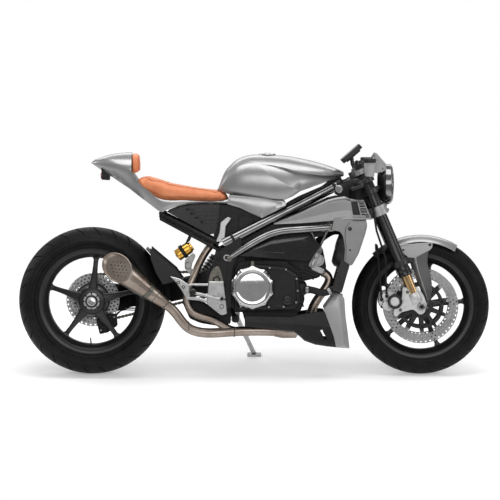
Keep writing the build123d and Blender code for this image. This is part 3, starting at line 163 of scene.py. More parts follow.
SLOT_FINISH = {"tyre_rubber": TYRE_RUBBER, "wheel_black": BLACK_PAINT, "disc_steel": STEEL, "chain_steel": DARK_STEEL,
    "hub_grey": SATIN, "carrier_silver": CAST_GREY, "fork_black": BLACK_PAINT, "slider_gold": BRONZE,
    "grip_rubber": RUBBER, "control_black": PLASTIC, "lamp_black": BLACK_PAINT, "lamp_glass": GLASS_GREY,
    "display_black": GLASS_GREY, "body_silver": PAINT, "frame_aluminium": POLISHED, "casting_black": CAST_BLACK,
    "engine_black": CAST_BLACK, "chrome": CHROME, "plastic_black": PLASTIC, "seat_leather": LEATHER,
    "shock_steel": STEEL, "reservoir_gold": GOLD, "exhaust_brown": TITANIUM, "hanger_silver": SATIN}
for row in frame["record"]["subparts"]:
    cad = frame["nodes"][row["node"]]
    cad.data.materials.clear()
    cad.data.materials.append(SLOT_FINISH[row["material_slot"]])


# Camera, floor and light. The photograph is square and looks at the right side, a little from above

PHOTO_PX = 500
MM_PER_PX = 4.36
PHOTO_CENTRE = (687.0, 0.0, 541.0)      # what the photograph's centre shows, in the motorcycle's middle plane
LOOK_DOWN = 2.5                         # degrees above the square view of the right side
DISTANCE = 14.0

aim = Vector(to_row([PHOTO_CENTRE])[0])
back = SIDE * -cos(radians(LOOK_DOWN)) + UP * sin(radians(LOOK_DOWN))
camera_data = bpy.data.cameras.new("camera")
camera = bpy.data.objects.new("camera", camera_data)
bpy.context.collection.objects.link(camera)
camera.location = aim + back * DISTANCE
camera.rotation_euler = (-back).to_track_quat("-Z", "Y").to_euler()
camera_data.sensor_width = 36.0
camera_data.lens = camera_data.sensor_width * DISTANCE / (PHOTO_PX * MM_PER_PX * MM)
camera_data.clip_end = 60.0
bpy.context.scene.camera = camera


def soft_light(name, place, target, size, power):
    """A rectangular soft box that faces its target."""
    data = bpy.data.lights.new(name, "AREA")
    data.shape = "RECTANGLE"
    data.size, data.size_y = size
    data.energy = power
    lamp = bpy.data.objects.new(name, data)
    bpy.context.collection.objects.link(lamp)
    lamp.location = place
    lamp.rotation_euler = (Vector(target) - Vector(place)).to_track_quat("-Z", "Y").to_euler()


soft_light("top_box", (0.0, -0.2, 3.2), (0.0, 0.0, 0.5), (3.6, 1.6), 60)
soft_light("near_box", (0.4, -4.0, 2.2), (0.0, 0.0, 0.5), (4.0, 1.6), 55)
soft_light("back_box", (0.0, 3.4, 2.6), (0.0, 0.0, 0.6), (4.4, 1.6), 45)
soft_light("nose_box", (3.6, -1.0, 1.8), (0.3, 0.0, 0.5), (1.6, 1.6), 25)
soft_light("tail_box", (-3.6, 1.2, 1.8), (-0.3, 0.0, 0.5), (1.6, 1.6), 25)

DIFFUSE_SKY, GLOSSY_SKY = 0.30, 0.18      # how bright the white room is to diffuse and to mirrored rays
world = bpy.data.worlds.new("studio")
bpy.context.scene.world = world
world.use_nodes = True
sky = world.node_tree
paths = sky.nodes.new("ShaderNodeLightPath")
seen = paths.outputs["Is Camera Ray"]
for ray in ("Is Glossy Ray", "Is Transmission Ray"):
    either = sky.nodes.new("ShaderNodeMath")
    either.operation = "MAXIMUM"
    sky.links.new(seen, either.inputs[0])
    weight = sky.nodes.new("ShaderNodeMath")
    weight.operation = "MULTIPLY"
    weight.inputs[1].default_value = GLOSSY_SKY if ray == "Is Glossy Ray" else 1.0
    sky.links.new(paths.outputs[ray], weight.inputs[0])
    sky.links.new(weight.outputs[0], either.inputs[1])
    seen = either.outputs[0]
strength = sky.nodes.new("ShaderNodeMapRange")
strength.inputs["To Min"].default_value = DIFFUSE_SKY
strength.inputs["To Max"].default_value = 1.0
sky.links.new(seen, strength.inputs["Value"])
sky.links.new(strength.outputs["Result"], sky.nodes["Background"].inputs["Strength"])
sky.nodes["Background"].inputs["Color"].default_value = (1, 1, 1, 1)

bpy.ops.mesh.primitive_plane_add(size=8, location=(0, 0, 0))
floor = bpy.context.object
floor.name = "floor"
floor_material, floor_tree, floor_shader, floor_place = nodes_of("white_floor")
floor_shader.inputs["Base Color"].default_value = (0.9, 0.9, 0.9, 1)
floor_shader.inputs["Roughness"].default_value = 0.8
floor_shader.inputs["Specular IOR Level"].default_value = 0.2
floor_shader.inputs["Emission Color"].default_value = (1, 1, 1, 1)
floor_shader.inputs["Emission Strength"].default_value = 0.30
away = floor_tree.nodes.new("ShaderNodeVectorMath")
away.operation = "LENGTH"
floor_tree.links.new(floor_place, away.inputs[0])
clear = floor_tree.nodes.new("ShaderNodeBsdfTransparent")
fade = floor_tree.nodes.new("ShaderNodeMixShader")
floor_tree.links.new(spread(floor_tree, away.outputs["Value"], 0, 1, 1.3, 2.4), fade.inputs[0])
floor_tree.links.new(floor_shader.outputs[0], fade.inputs[1])
floor_tree.links.new(clear.outputs[0], fade.inputs[2])
floor_tree.links.new(fade.outputs[0], floor_tree.nodes["Material Output"].inputs["Surface"])
floor.data.materials.append(floor_material)


# Surfaces. A part is (points in motorcycle millimetres, faces); a piece is one mesh made of parts

def smooth_curve(knots, count):
    """The natural cubic spline through the knots, at count places even in chord length along it."""
    knots = np.asarray(knots, float)
    step = np.maximum(np.linalg.norm(np.diff(knots, axis=0), axis=1), 1e-6)
    at = np.concatenate([[0], np.cumsum(step)])
    return spline(at, knots, np.linspace(0, at[-1], count))


def spline(at, values, where):
    """Natural cubic spline: values at the places at, read at where; second derivatives m solve
    h0 m0 + 2 (h0 + h1) m1 + h1 m2 = 6 (slope1 - slope0) with m = 0 at both ends."""
    at, where = np.asarray(at, float), np.asarray(where, float)
    values = np.asarray(values, float)
    flat = values.reshape(len(at), -1)
    h = np.diff(at)
    n = len(at)
    matrix = np.eye(n)
    right = np.zeros_like(flat)
    inner = np.arange(1, n - 1)
    matrix[inner, inner - 1] = h[:-1]
    matrix[inner, inner] = 2 * (h[:-1] + h[1:])
    matrix[inner, inner + 1] = h[1:]
    slope = np.diff(flat, axis=0) / h[:, None]
    right[1:-1] = 6 * np.diff(slope, axis=0)
    m = np.linalg.solve(matrix, right)
    k = np.clip(np.searchsorted(at, where, side="right") - 1, 0, n - 2)
    t, w = (where - at[k])[:, None], h[k][:, None]
    a, b = m[k], m[k + 1]
    result = (flat[k] + t * (slope[k] - w * (2 * a + b) / 6) + t ** 2 * a / 2 + t ** 3 * (b - a) / (6 * w))
    return result.reshape((len(where),) + values.shape[1:])


def grid_faces(rows, columns, loop_rows=False, loop_columns=False):
    """The four-sided faces of a grid of points numbered row by row."""
    i = np.arange(rows if loop_rows else rows - 1)
    j = np.arange(columns if loop_columns else columns - 1)
    a, b = np.meshgrid(i, j, indexing="ij")
    c, d = (a + 1) % rows, (b + 1) % columns
    return np.stack([a * columns + b, c * columns + b, c * columns + d, a * columns + d], -1).reshape(-1, 4)


def sheet(grid, loop_rows=False, loop_columns=False):
    """A part from a grid of points (rows, columns, 3)."""
    rows, columns = grid.shape[:2]
    return grid.reshape(-1, 3), grid_faces(rows, columns, loop_rows, loop_columns).tolist()


def capped(grid, loop=True):
    """A part from a grid with both end rows filled. Its columns close round unless loop is False."""
    rows, columns = grid.shape[:2]
    points, faces = sheet(grid, loop_columns=loop)
    last = (rows - 1) * columns
    return points, faces + [list(range(columns)), list(range(last, last + columns))]


def frames(path):
    """Unit tangents along a path and two normals carried along it without twist."""
    path = np.asarray(path, float)
    way = np.gradient(path, axis=0)
    way /= np.linalg.norm(way, axis=1)[:, None]
    start = np.array([0, 1, 0]) if abs(way[0, 1]) < 0.9 else np.array([0, 0, 1])
    side = np.zeros_like(path)
    side[0] = np.cross(way[0], start)
    for k in range(len(path)):
        previous = side[max(k - 1, 0)]
        side[k] = previous - way[k] * (previous @ way[k])
        side[k] /= np.linalg.norm(side[k])
    return way, side, np.cross(way, side)


def tube(path, radius, sides=20):
    """A round bar: path(t) + radius(t) (cos a side + sin a up), both ends filled."""
    path = np.asarray(path, float)
    way, side, up = frames(path)
    a = np.linspace(0, 2 * pi, sides, endpoint=False)
    r = np.broadcast_to(np.asarray(radius, float), (len(path),))[:, None, None]
    ring = np.cos(a)[None, :, None] * side[:, None] + np.sin(a)[None, :, None] * up[:, None]
    return capped(path[:, None] + r * ring)


def bar(p, q, r, r_end=None, sides=24):
    """A straight round bar or cone from p to q."""
    return tube([p, q], [r, r if r_end is None else r_end], sides)


def bent_pipe(knots, r, sides=20, count=60):
    """A round pipe on a smooth curve through the knots."""
    return tube(smooth_curve(knots, count), r, sides)


def lathe(profile, centre, way=(0, 1, 0), steps=96, loop=None):
    """A profile of (along, radius) turned about the line through centre: centre + along w + radius (cos a u +
    sin a v). The profile closes on itself unless it ends on the line or loop is False."""
    profile = np.asarray(profile, float)
    loop = bool(profile[0, 1] and profile[-1, 1]) if loop is None else loop
    w = np.asarray(way, float) / np.linalg.norm(way)
    u = np.cross([0, 0, 1] if abs(w[2]) < 0.9 else [1, 0, 0], w)
    u /= np.linalg.norm(u)
    v = np.cross(w, u)
    a = np.linspace(0, 2 * pi, steps, endpoint=False)
    ring = np.cos(a)[:, None, None] * u + np.sin(a)[:, None, None] * v
    grid = np.asarray(centre, float) + profile[None, :, :1] * w + profile[None, :, 1:] * ring
    return sheet(grid, loop_rows=True, loop_columns=loop)


def plate(outline, y_in, y_out, corner=0):
    """A flat plate: an (X, Z) outline between two Y planes, its corners rounded."""
    flat = rounded(outline, corner) if corner else np.asarray(outline, float)
    return capped(np.stack([np.insert(flat, 1, y, axis=1) for y in (y_in, y_out)]))


def ring_points(centre, w, u, radius, count, start=0.0):
    """count points round a centre in the plane square to w, the first along u turned by start."""
    w, u = np.asarray(w, float), np.asarray(u, float)
    v = np.cross(w, u)
    a = np.linspace(0, 2 * pi, count, endpoint=False) + start
    return np.asarray(centre, float) + radius * (np.cos(a)[:, None] * u + np.sin(a)[:, None] * v)


def flip(part):
    """The mirror image of a part on the other side of the middle plane."""
    points, faces = part
    return np.asarray(points) * (1, -1, 1), [list(reversed(f)) for f in faces]


def both(*parts):
    """Parts with their mirror images."""
    return [p for part in parts for p in (part, flip(part))]


def turn_about(part, centre, way, angle):
    """A part turned by angle about a line: p cos a + (w x p) sin a + w (w . p)(1 - cos a)."""
    points, faces = part
    w = np.asarray(way, float) / np.linalg.norm(way)
    p = np.asarray(points, float) - centre
    turned = p * cos(angle) + np.cross(w, p) * sin(angle) + w * (p @ w)[:, None] * (1 - cos(angle))
    return turned + centre, faces


def closed_object(name, points, faces, gap):
    """One mesh object from points in metres, those nearer than gap made one, its faces turned outward."""
    mesh = bpy.data.meshes.new(name)
    mesh.from_pydata(points.tolist(), [], faces)
    work = bmesh.new()
    work.from_mesh(mesh)
    bmesh.ops.remove_doubles(work, verts=work.verts, dist=gap)
    bmesh.ops.recalc_face_normals(work, faces=work.faces)
    work.to_mesh(mesh)
    work.free()
    thing = bpy.data.objects.new(name, mesh)
    bpy.context.collection.objects.link(thing)
    return thing


def piece(name, parts, material, body="root", replaces=(), sharp=40.0, bevel=0.0, wall=0.0):
    """One mesh object from parts, with outward faces, finished by modifiers, riding on a body."""
    points, faces, start = [], [], 0
    for part_points, part_faces in parts:
        points.append(to_row(part_points))
        faces += [[k + start for k in face] for face in part_faces]
        start += len(part_points)
    thing = closed_object(name, np.concatenate(points), faces, 0.00002)
    mesh = thing.data
    mesh.shade_smooth()
    mesh.set_sharp_from_angle(angle=radians(sharp))
    mesh.materials.append(material)
    if wall:
        solid = thing.modifiers.new("wall", "SOLIDIFY")
        solid.thickness = wall * MM
        solid.offset = 0.0
    if bevel:
        edge = thing.modifiers.new("edge", "BEVEL")
        edge.width = bevel * MM
        edge.segments = 2
        edge.limit_method = "ANGLE"
        edge.angle_limit = radians(sharp)
        edge.harden_normals = False
    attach(thing, body)
    if replaces:
        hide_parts(*replaces)
    return thing


def rounded(points, radius, steps=5):
    """An outline with rounded corners: at each corner the quadratic curve (1-t)^2 a + 2t(1-t) p + t^2 b between
    points a and b on the two sides, radius away or nearly half a side where that is less."""
    p = np.asarray(points, float)
    a, b = np.roll(p, 1, 0) - p, np.roll(p, -1, 0) - p
    la, lb = np.linalg.norm(a, axis=1)[:, None], np.linalg.norm(b, axis=1)[:, None]
    r = np.minimum(radius, 0.45 * np.minimum(la, lb))
    t = np.linspace(0, 1, steps)[None, :, None]
    first, last = p + a / la * r, p + b / lb * r
    curve = (1 - t) ** 2 * first[:, None] + 2 * t * (1 - t) * p[:, None] + t ** 2 * last[:, None]
    return curve.reshape(-1, 2)


def slab_on(outline, origin, u, v, low, high):
    """A flat plate: an outline in the plane of u and v through the origin, between two levels along u x v."""
    flat, u, v = np.asarray(outline, float), np.asarray(u, float), np.asarray(v, float)
    w = np.cross(u, v)
    base = np.asarray(origin, float) + flat[:, :1] * u + flat[:, 1:] * v
    return capped(np.stack([base + low * w, base + high * w]))


def bolt(centre, r=5.0, height=4.0, way=RIGHT):
    """A button-head screw with a socket."""
    return lathe([(-1.5, 0), (-1.5, r), (height * 0.5, r), (height, r * 0.74), (height, r * 0.42),
        (height * 0.3, r * 0.38), (height * 0.3, 0)], centre, way, 18)


def nut(centre, r=8.0, height=6.0, way=RIGHT):
    """A six-sided nut on its washer, with a domed stud end."""
    washer = lathe([(-1, 0), (-1, r * 1.3), (1.2, r * 1.3), (1.2, 0)], centre, way, 24)
    hexagon = lathe([(1, 0), (1, r), (height, r), (height, 0)], centre, way, 6)
    stud = lathe([(height - 1, 0), (height - 1, r * 0.55), (height + 2, r * 0.5), (height + 2.6, 0)], centre, way, 16)
    return [washer, hexagon, stud]


def strap(path, section, side=(0, 1, 0)):
    """A bar whose closed section of (across, up) points is carried along a path: p + x side + y (side x way)."""
    path, section = np.asarray(path, float), np.asarray(section, float)
    way = np.gradient(path, axis=0)
    way /= np.linalg.norm(way, axis=1)[:, None]
    across = np.asarray(side, float) - way * (way @ np.asarray(side, float))[:, None]
    across /= np.linalg.norm(across, axis=1)[:, None]
    up = np.cross(across, way)
    section = np.broadcast_to(section, (len(path),) + section.shape[-2:])
    return capped(path[:, None] + section[:, :, :1] * across[:, None] + section[:, :, 1:] * up[:, None])


def oval(width, height, sides=20, power=1.0):
    """A closed section: (width/2 cos a, height/2 sin a), squarer where power is below 1."""
    a = np.linspace(0, 2 * pi, sides, endpoint=False)
    c, s = np.cos(a), np.sin(a)
    return np.stack([width / 2 * np.sign(c) * np.abs(c) ** power, height / 2 * np.sign(s) * np.abs(s) ** power], -1)


def shell(outside, inside):
    """A thin shell from two grids with the same rows and columns, joined round their four edges."""
    rows, columns = outside.shape[:2]
    count = rows * columns
    front = grid_faces(rows, columns)
    i, j = np.arange(rows), np.arange(columns)
    rim = np.concatenate([j, i[1:] * columns + columns - 1, (rows - 1) * columns + j[-2::-1], i[-2:0:-1] * columns])
    ahead = np.roll(rim, -1)
    edge = np.stack([rim, ahead, ahead + count, rim + count], -1)
    points = np.concatenate([outside.reshape(-1, 3), inside.reshape(-1, 3)])
    return points, np.concatenate([front, front[:, ::-1] + count, edge]).tolist()


def inset(outline, by):
    """An outline moved inward along its normals by an amount."""
    p = np.asarray(outline, float)
    way = np.roll(p, -1, 0) - np.roll(p, 1, 0)
    way /= np.linalg.norm(way, axis=1)[:, None] + 1e-9
    x, z = p.T
    turn = np.sign(np.sum(x * np.roll(z, -1) - z * np.roll(x, -1)))
    return p + by * turn * np.stack([-way[:, 1], way[:, 0]], -1)


def layers(outline, steps):
    """A solid from one outline taken at several depths in Y: (depth, inset) rings, the first and last closed flat."""
    rings = []
    for y, by in steps:
        rings.append(np.insert(inset(outline, by), 1, y, axis=1))
    return capped(np.stack(rings))


def ridged(outline, ridge, edge, wall, crown):
    """A faceted panel: the outline at two depths, then the ridge ring (one X, Z point for each outline point)."""
    rings = ((outline, edge), (outline, wall), (ridge, crown))
    return capped(np.stack([np.insert(np.asarray(line, float), 1, y, axis=1) for line, y in rings]))


def weld(centre, way, r, bead=2.0):
    """A rippled weld bead round a pipe: a ring whose thickness swells about forty times round."""
    a = np.linspace(0, 2 * pi, 160, endpoint=False)[:, None]
    b = np.linspace(0, 2 * pi, 8, endpoint=False)[None, :]
    way = np.asarray(way, float) / np.linalg.norm(way)
    u = np.cross(way, (0.0, 0.3, 1.0))
    u /= np.linalg.norm(u)
    w = np.cross(way, u)
    thick = bead * (1 + 0.25 * np.sin(40 * a))
    out = r + thick * np.cos(b)
    spin = (np.cos(a)[..., None] * u + np.sin(a)[..., None] * w)
    return sheet(np.asarray(centre) + out[..., None] * spin + (thick * np.sin(b))[..., None] * way, True, True)


# Fuel tank

TANK_TOP = ((545, 803), (549, 812), (556, 830), (565, 855), (582, 889), (599, 908), (621, 929), (652, 946),
    (687, 955), (739, 957), (796, 955), (861, 949), (905, 941), (957, 930), (1000, 918), (1040, 905), (1070, 893),
    (1094, 882))
TANK_EDGE = ((545, 800), (599, 788), (687, 777), (774, 766), (839, 765), (872, 780), (905, 802), (945, 816),
    (992, 833), (1044, 850), (1094, 866))
TANK_UPPER_LINE = ((545, 801), (599, 880), (660, 920), (739, 917), (817, 906), (905, 883), (950, 875), (992, 869),
    (1057, 866), (1094, 870))
TANK_LOWER_LINE = ((545, 800.5), (599, 850), (660, 885), (700, 908), (739, 902), (774, 872), (817, 846), (861, 820),
    (905, 804), (945, 817), (992, 834), (1044, 851), (1094, 867))
TANK_HALF = ((545, 58), (556, 74), (578, 92), (612, 110), (680, 127), (760, 138), (840, 141), (910, 137), (1000, 112),
    (1060, 78), (1094, 46))
SCOOP_DEPTH = ((545, 0), (715, 0), (760, 3), (817, 11), (880, 19), (960, 25), (1040, 24), (1094, 10))


def table(rows, where):
    """The second column of a table of two, at these places along the first, straight between rows."""
    rows = np.asarray(rows, float)
    return np.interp(where, rows[:, 0], rows[:, 1])


def table_smooth(rows, where):
    """The same along a cubic spline."""
    rows = np.asarray(rows, float)
    return spline(rows[:, 0], rows[:, 1], where)


def tank_half_at(z, top, edge, half):
    """Half width at height z: a superellipse above the widest line, a parabola tucked in below it."""
    middle = edge + (top - edge) * 0.36
    rise = np.clip((z - middle) / np.maximum(top - middle, 1e-6), 0, 1)
    above = half * (1 - rise ** 2.3) ** (1 / 2.3)
    fall = np.clip((middle - z) / np.maximum(middle - edge, 1e-6), 0, 1)
    return np.where(z >= middle, above, half * (1 - 0.13 * fall ** 2))


def tank_shell():
    """Right half by rows: crown by angle, then even heights to the upper line, the lower line and the edge,
    with the scoop let in between the two lines; mirrored to the left."""
    xs = np.concatenate([np.linspace(545, 700, 60), np.linspace(704, 1094, 110)])
    top, edge = table_smooth(TANK_TOP, xs), table(TANK_EDGE, xs)
    upper = np.minimum(table_smooth(TANK_UPPER_LINE, xs), top - 1)
    upper = np.maximum(upper, edge + 0.5)
    lower = np.clip(table(TANK_LOWER_LINE, xs), edge + 0.2, upper - 0.2)
    half, depth = table_smooth(TANK_HALF, xs), table_smooth(SCOOP_DEPTH, xs)
    middle = edge + (top - edge) * 0.36
    rise = np.clip((upper - middle) / (top - middle), 0.0, 1)
    start = np.arcsin(rise ** 1.15)
    t = np.linspace(0, 1, 34)[None, :]
    angle = pi / 2 - t * (pi / 2 - start[:, None])
    crown_z = middle[:, None] + (top - middle)[:, None] * np.sin(angle) ** (1 / 1.15)
    low_crown = upper < middle
    straight = top[:, None] + t * (upper - top)[:, None]
    crown_z = np.where(low_crown[:, None], straight, crown_z)
    fine = np.concatenate([[0.012, 0.03, 0.055, 0.09, 0.14], np.linspace(0.2, 1, 20)])[None, :]
    scoop_z = upper[:, None] + fine * (lower - upper)[:, None]
    side_z = lower[:, None] + np.linspace(0.05, 1, 16)[None, :] * (edge - lower)[:, None]
    z = np.concatenate([crown_z, scoop_z, side_z], 1)
    y = tank_half_at(z, top[:, None], edge[:, None], half[:, None])
    step = np.clip(fine / 0.075, 0, 1)
    drop = depth[:, None] * (step * step * (3 - 2 * step)) * (1 - fine) ** 0.8
    y[:, 34:34 + fine.shape[1]] -= drop
    y[:, 0] = 0
    foot = np.stack([y[:, -1] - 5, y[:, -1] - 16, y[:, -1] * 0.4, 0 * edge], 1)
    foot_z = np.stack([edge - 1.5, edge + 6, edge + 8, edge + 8], 1)
    y, z = np.concatenate([y, foot], 1), np.concatenate([z, foot_z], 1)
    grid = np.stack([np.broadcast_to(xs[:, None], y.shape), -y, z], -1)
    return capped(grid, False)


piece("tank_skin", both(tank_shell()), PAINT, replaces=("fuel_tank",), sharp=42)

cap_x, cap_z = 762.0, 957.0
cap_ring = lathe([(0, 0), (0, 36), (1.5, 37), (5, 36.5), (6, 34), (4.6, 32.5), (4.6, 22), (7, 20), (7.5, 0)],
    (cap_x, 0, cap_z - 2), (0, 0, 1), 64)
cap_bolts = [lathe([(0, 3.4), (2.2, 3.4), (2.6, 2.6), (1.2, 1.8), (1.2, 0)], p, (0, 0, 1), 12)
    for p in ring_points((cap_x, 0, cap_z + 2.4), (0, 0, 1), (1, 0, 0), 27.5, 6)]
cap_latch = plate([(cap_x - 13, cap_z + 5), (cap_x + 13, cap_z + 5), (cap_x + 11, cap_z + 8.5),
    (cap_x - 11, cap_z + 8.5)], -5, 5)
piece("filler_cap", [cap_ring, *cap_bolts, cap_latch], SATIN, replaces=("fuel_cap",), bevel=0.4, sharp=35)


# Tail: hump, seat tray and side bands in one loft along X

TAIL_TOP = ((-4, 921), (4, 929), (33, 943), (76, 957), (120, 964), (150, 966.5), (174, 967))
TAIL_SHOULDER = ((-4, 920.8), (33, 934), (76, 939), (120, 937), (174, 934))
TAIL_WAIST = ((-4, 920.4), (33, 918), (76, 912), (120, 905), (150, 897), (174, 886), (190, 862), (207, 838),
    (251, 800), (294, 765), (316, 756), (400, 754), (578, 754), (594, 754))
TAIL_FOOT = ((-4, 919.8), (33, 895), (76, 868), (120, 839), (164, 811), (207, 778), (251, 746), (294, 713),
    (307, 709.5), (338, 724), (381, 737), (425, 746), (512, 750), (578, 747), (594, 746))
TAIL_RIM = ((174, 872), (181, 861), (190, 841), (207, 820), (229, 806), (251, 794), (294, 770), (316, 763),
    (400, 761), (578, 761), (594, 765))
TAIL_HALF = ((-4, 8), (4, 18), (33, 46), (76, 76), (120, 96), (174, 110), (207, 114), (300, 120), (420, 125),
    (594, 126))


def tail_rows(xs, hump):
    """Half sections as rows of (Y, Z): crown or tray, shoulder or rim, waist, foot, underside."""
    half = table_smooth(TAIL_HALF, xs)
    waist, foot = table_smooth(TAIL_WAIST, xs), table(TAIL_FOOT, xs)
    foot = np.minimum(foot, waist - 0.5)
    if hump:
        top, edge_y, edge_z = table_smooth(TAIL_TOP, xs), 0.80 * half, table_smooth(TAIL_SHOULDER, xs)
        t = np.linspace(0, 1, 14)[None, :]
        y1 = t * edge_y[:, None]
        z1 = top[:, None] - (top - edge_z)[:, None] * t ** 2.2
    else:
        edge_y, edge_z = half - 5, table_smooth(TAIL_RIM, xs)
        y1 = np.stack([0 * half, half * 0.5, half - 16, half - 12, half - 10, half - 7.5, edge_y], 1)
        lip = np.array([-7.0, -7.0, -7.0, -6.4, -1.6, -0.4, 0.0])
        y1 = np.concatenate([y1[:, :1]] + [y1[:, :1]] * 7 + [y1[:, 1:]], 1)
        lip = np.concatenate([[lip[0]] * 8, lip[1:]])
        z1 = edge_z[:, None] + lip[None, :]
    t = np.linspace(0, 1, 9)[None, 1:]
    y2 = edge_y[:, None] + (half - edge_y)[:, None] * np.sin(t * pi / 2)
    z2 = edge_z[:, None] + (waist - edge_z)[:, None] * t
    t = np.linspace(0, 1, 9)[None, 1:]
    keel = np.where(xs < 230, 0.52 + 0.3 * np.clip((xs - 120) / 110, 0, 1),
        0.82 + 0.1 * np.clip((xs - 230) / 90, 0, 1))
    foot_y = half * keel
    y3 = half[:, None] + (foot_y - half)[:, None] * t ** 1.5
    z3 = waist[:, None] + (foot - waist)[:, None] * t
    y4 = np.stack([foot_y - 3, foot_y * 0.6, 0 * half], 1)
    z4 = np.stack([foot + 0.5, foot + 3, foot + 4], 1)
    y, z = np.concatenate([y1, y2, y3, y4], 1), np.concatenate([z1, z2, z3, z4], 1)
    return np.stack([np.broadcast_to(xs[:, None], y.shape), -y, z], -1)


def tail_shell():
    """Hump stations, the upright face where the seat begins, then the tray stations."""
    hump = tail_rows(np.concatenate([np.linspace(-4, 33, 12), np.linspace(37, 174, 34)]), True)
    tray = tail_rows(np.concatenate([np.linspace(174.5, 330, 60), np.linspace(335, 594, 40)]), False)
    return capped(np.concatenate([hump, tray]), False)


BAND_TOP = ((590, 762), (599, 783), (665, 779), (739, 771), (796, 760), (835, 757), (842, 750))
BAND_FOOT = ((590, 744), (643, 728), (687, 706), (739, 684), (790, 710), (842, 736))
BAND_LINE = ((590, 756), (660, 744), (730, 728), (790, 725), (842, 740))


def side_band():
    """The painted band between seat and tank: two flat faces that meet in a line, closed at the back."""
    xs = np.linspace(590, 842, 70)
    top, foot = table(BAND_TOP, xs), table(BAND_FOOT, xs)
    line = np.clip(table_smooth(BAND_LINE, xs), foot + 1, top - 1)
    out = table(((590, 126), (660, 130), (740, 134), (842, 133)), xs)
    rows_z = np.stack([top, top - 0.12 * (top - line), line, line - 0.92 * (line - foot), foot, foot, top], 1)
    rows_y = np.stack([out - 5, out - 2.5, out, out - 6, out - 9, out - 14, out - 14], 1)
    grid = np.stack([np.broadcast_to(xs[:, None], rows_y.shape), -rows_y, rows_z], -1)
    return capped(grid)


piece("tail_skin", both(tail_shell(), side_band()), PAINT, replaces=("tail_cowl",), sharp=34)


# Seat and bump pad: stuffed forms, filled out by a cloth simulation, seams after it

SEAT_TOP = ((196, 846), (201, 858), (214, 861), (229, 862), (259, 857), (294, 847), (338, 832), (381, 823),
    (425, 815), (469, 808), (512, 803), (547, 799), (575, 794), (590, 786), (596, 778))
SEAT_FOOT = ((196, 838), (203, 825), (216, 813), (251, 791), (294, 768), (316, 762), (400, 761), (590, 761),
    (596, 768))
SEAT_HALF = ((196, 74), (203, 92), (229, 100), (300, 108), (420, 110), (500, 103), (560, 92), (588, 80), (596, 62))

PRESSURE, CLOTH_FRAMES = 3.0, 20      # how hard a pad is blown up, and for how long


def stuffed(name, part, body, material, voxel=0.005, reach=0.006):
    """A closed form remeshed evenly, blown up a little as cloth and relaxed; no point moves more than reach."""
    pad = closed_object(name, to_row(part[0]), part[1], 0.00005)
    remesh = pad.modifiers.new("even", "REMESH")
    remesh.mode = "VOXEL"
    remesh.voxel_size = voxel
    bpy.context.view_layer.update()
    even = bpy.data.meshes.new_from_object(pad.evaluated_get(bpy.context.evaluated_depsgraph_get()))
    pad.modifiers.clear()
    pad.data = even
    rest = np.zeros(len(even.vertices) * 3)
    even.vertices.foreach_get("co", rest)
    rest = rest.reshape(-1, 3)
    cloth = pad.modifiers.new("stuffing", "CLOTH")
    cloth.settings.use_pressure = True
    cloth.settings.uniform_pressure_force = PRESSURE
    cloth.settings.effector_weights.gravity = 0
    cloth.settings.quality = 6
    cloth.settings.tension_stiffness = 20
    cloth.settings.bending_stiffness = 1.5
    scene = bpy.context.scene
    for frame_number in range(1, CLOTH_FRAMES + 1):
        scene.frame_set(frame_number)
    swollen = bpy.data.meshes.new_from_object(pad.evaluated_get(bpy.context.evaluated_depsgraph_get()))
    pad.modifiers.clear()
    moved = np.zeros(len(swollen.vertices) * 3)
    swollen.vertices.foreach_get("co", moved)
    shift = moved.reshape(-1, 3) - rest
    far = np.maximum(np.linalg.norm(shift, axis=1, keepdims=True), 1e-9)
    shift *= np.minimum(1, reach / far)
    scene.frame_set(1)
    rest = rest + shift
    even.vertices.foreach_set("co", rest.ravel())
    even.shade_smooth()
    even.materials.clear()
    even.materials.append(material)
    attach(pad, body)
    return pad


def pad_form(xs, top, foot, half, crown=0.10):
    """Closed sections along X: a crowned top, round shoulders and a flat foot a little narrower."""
    angle = np.linspace(0, pi, 25)[None, :]
    y = np.sign(np.cos(angle)) * np.abs(np.cos(angle)) ** 0.45 * half[:, None]
    height = (top - foot)[:, None]
    z = foot[:, None] + height * (0.30 + 0.70 * np.abs(np.sin(angle)) ** 0.38)
    z += crown * height * (np.sin(angle) - 1)
    foot_y = np.linspace(-1, 1, 9)[None, 1:-1] * (half * 0.97)[:, None]
    foot_z = np.broadcast_to(foot[:, None], foot_y.shape)
    y, z = np.concatenate([y, foot_y], 1), np.concatenate([z, foot_z], 1)
    return capped(np.stack([np.broadcast_to(xs[:, None], y.shape), y, z], -1))


seat_x = np.linspace(199, 599, 90)
seat = stuffed("seat_cushion", pad_form(seat_x, table_smooth(SEAT_TOP, seat_x) - 3, table(SEAT_FOOT, seat_x) + 2,
    table_smooth(SEAT_HALF, seat_x) - 3), "root", LEATHER)
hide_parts("seat_pad")


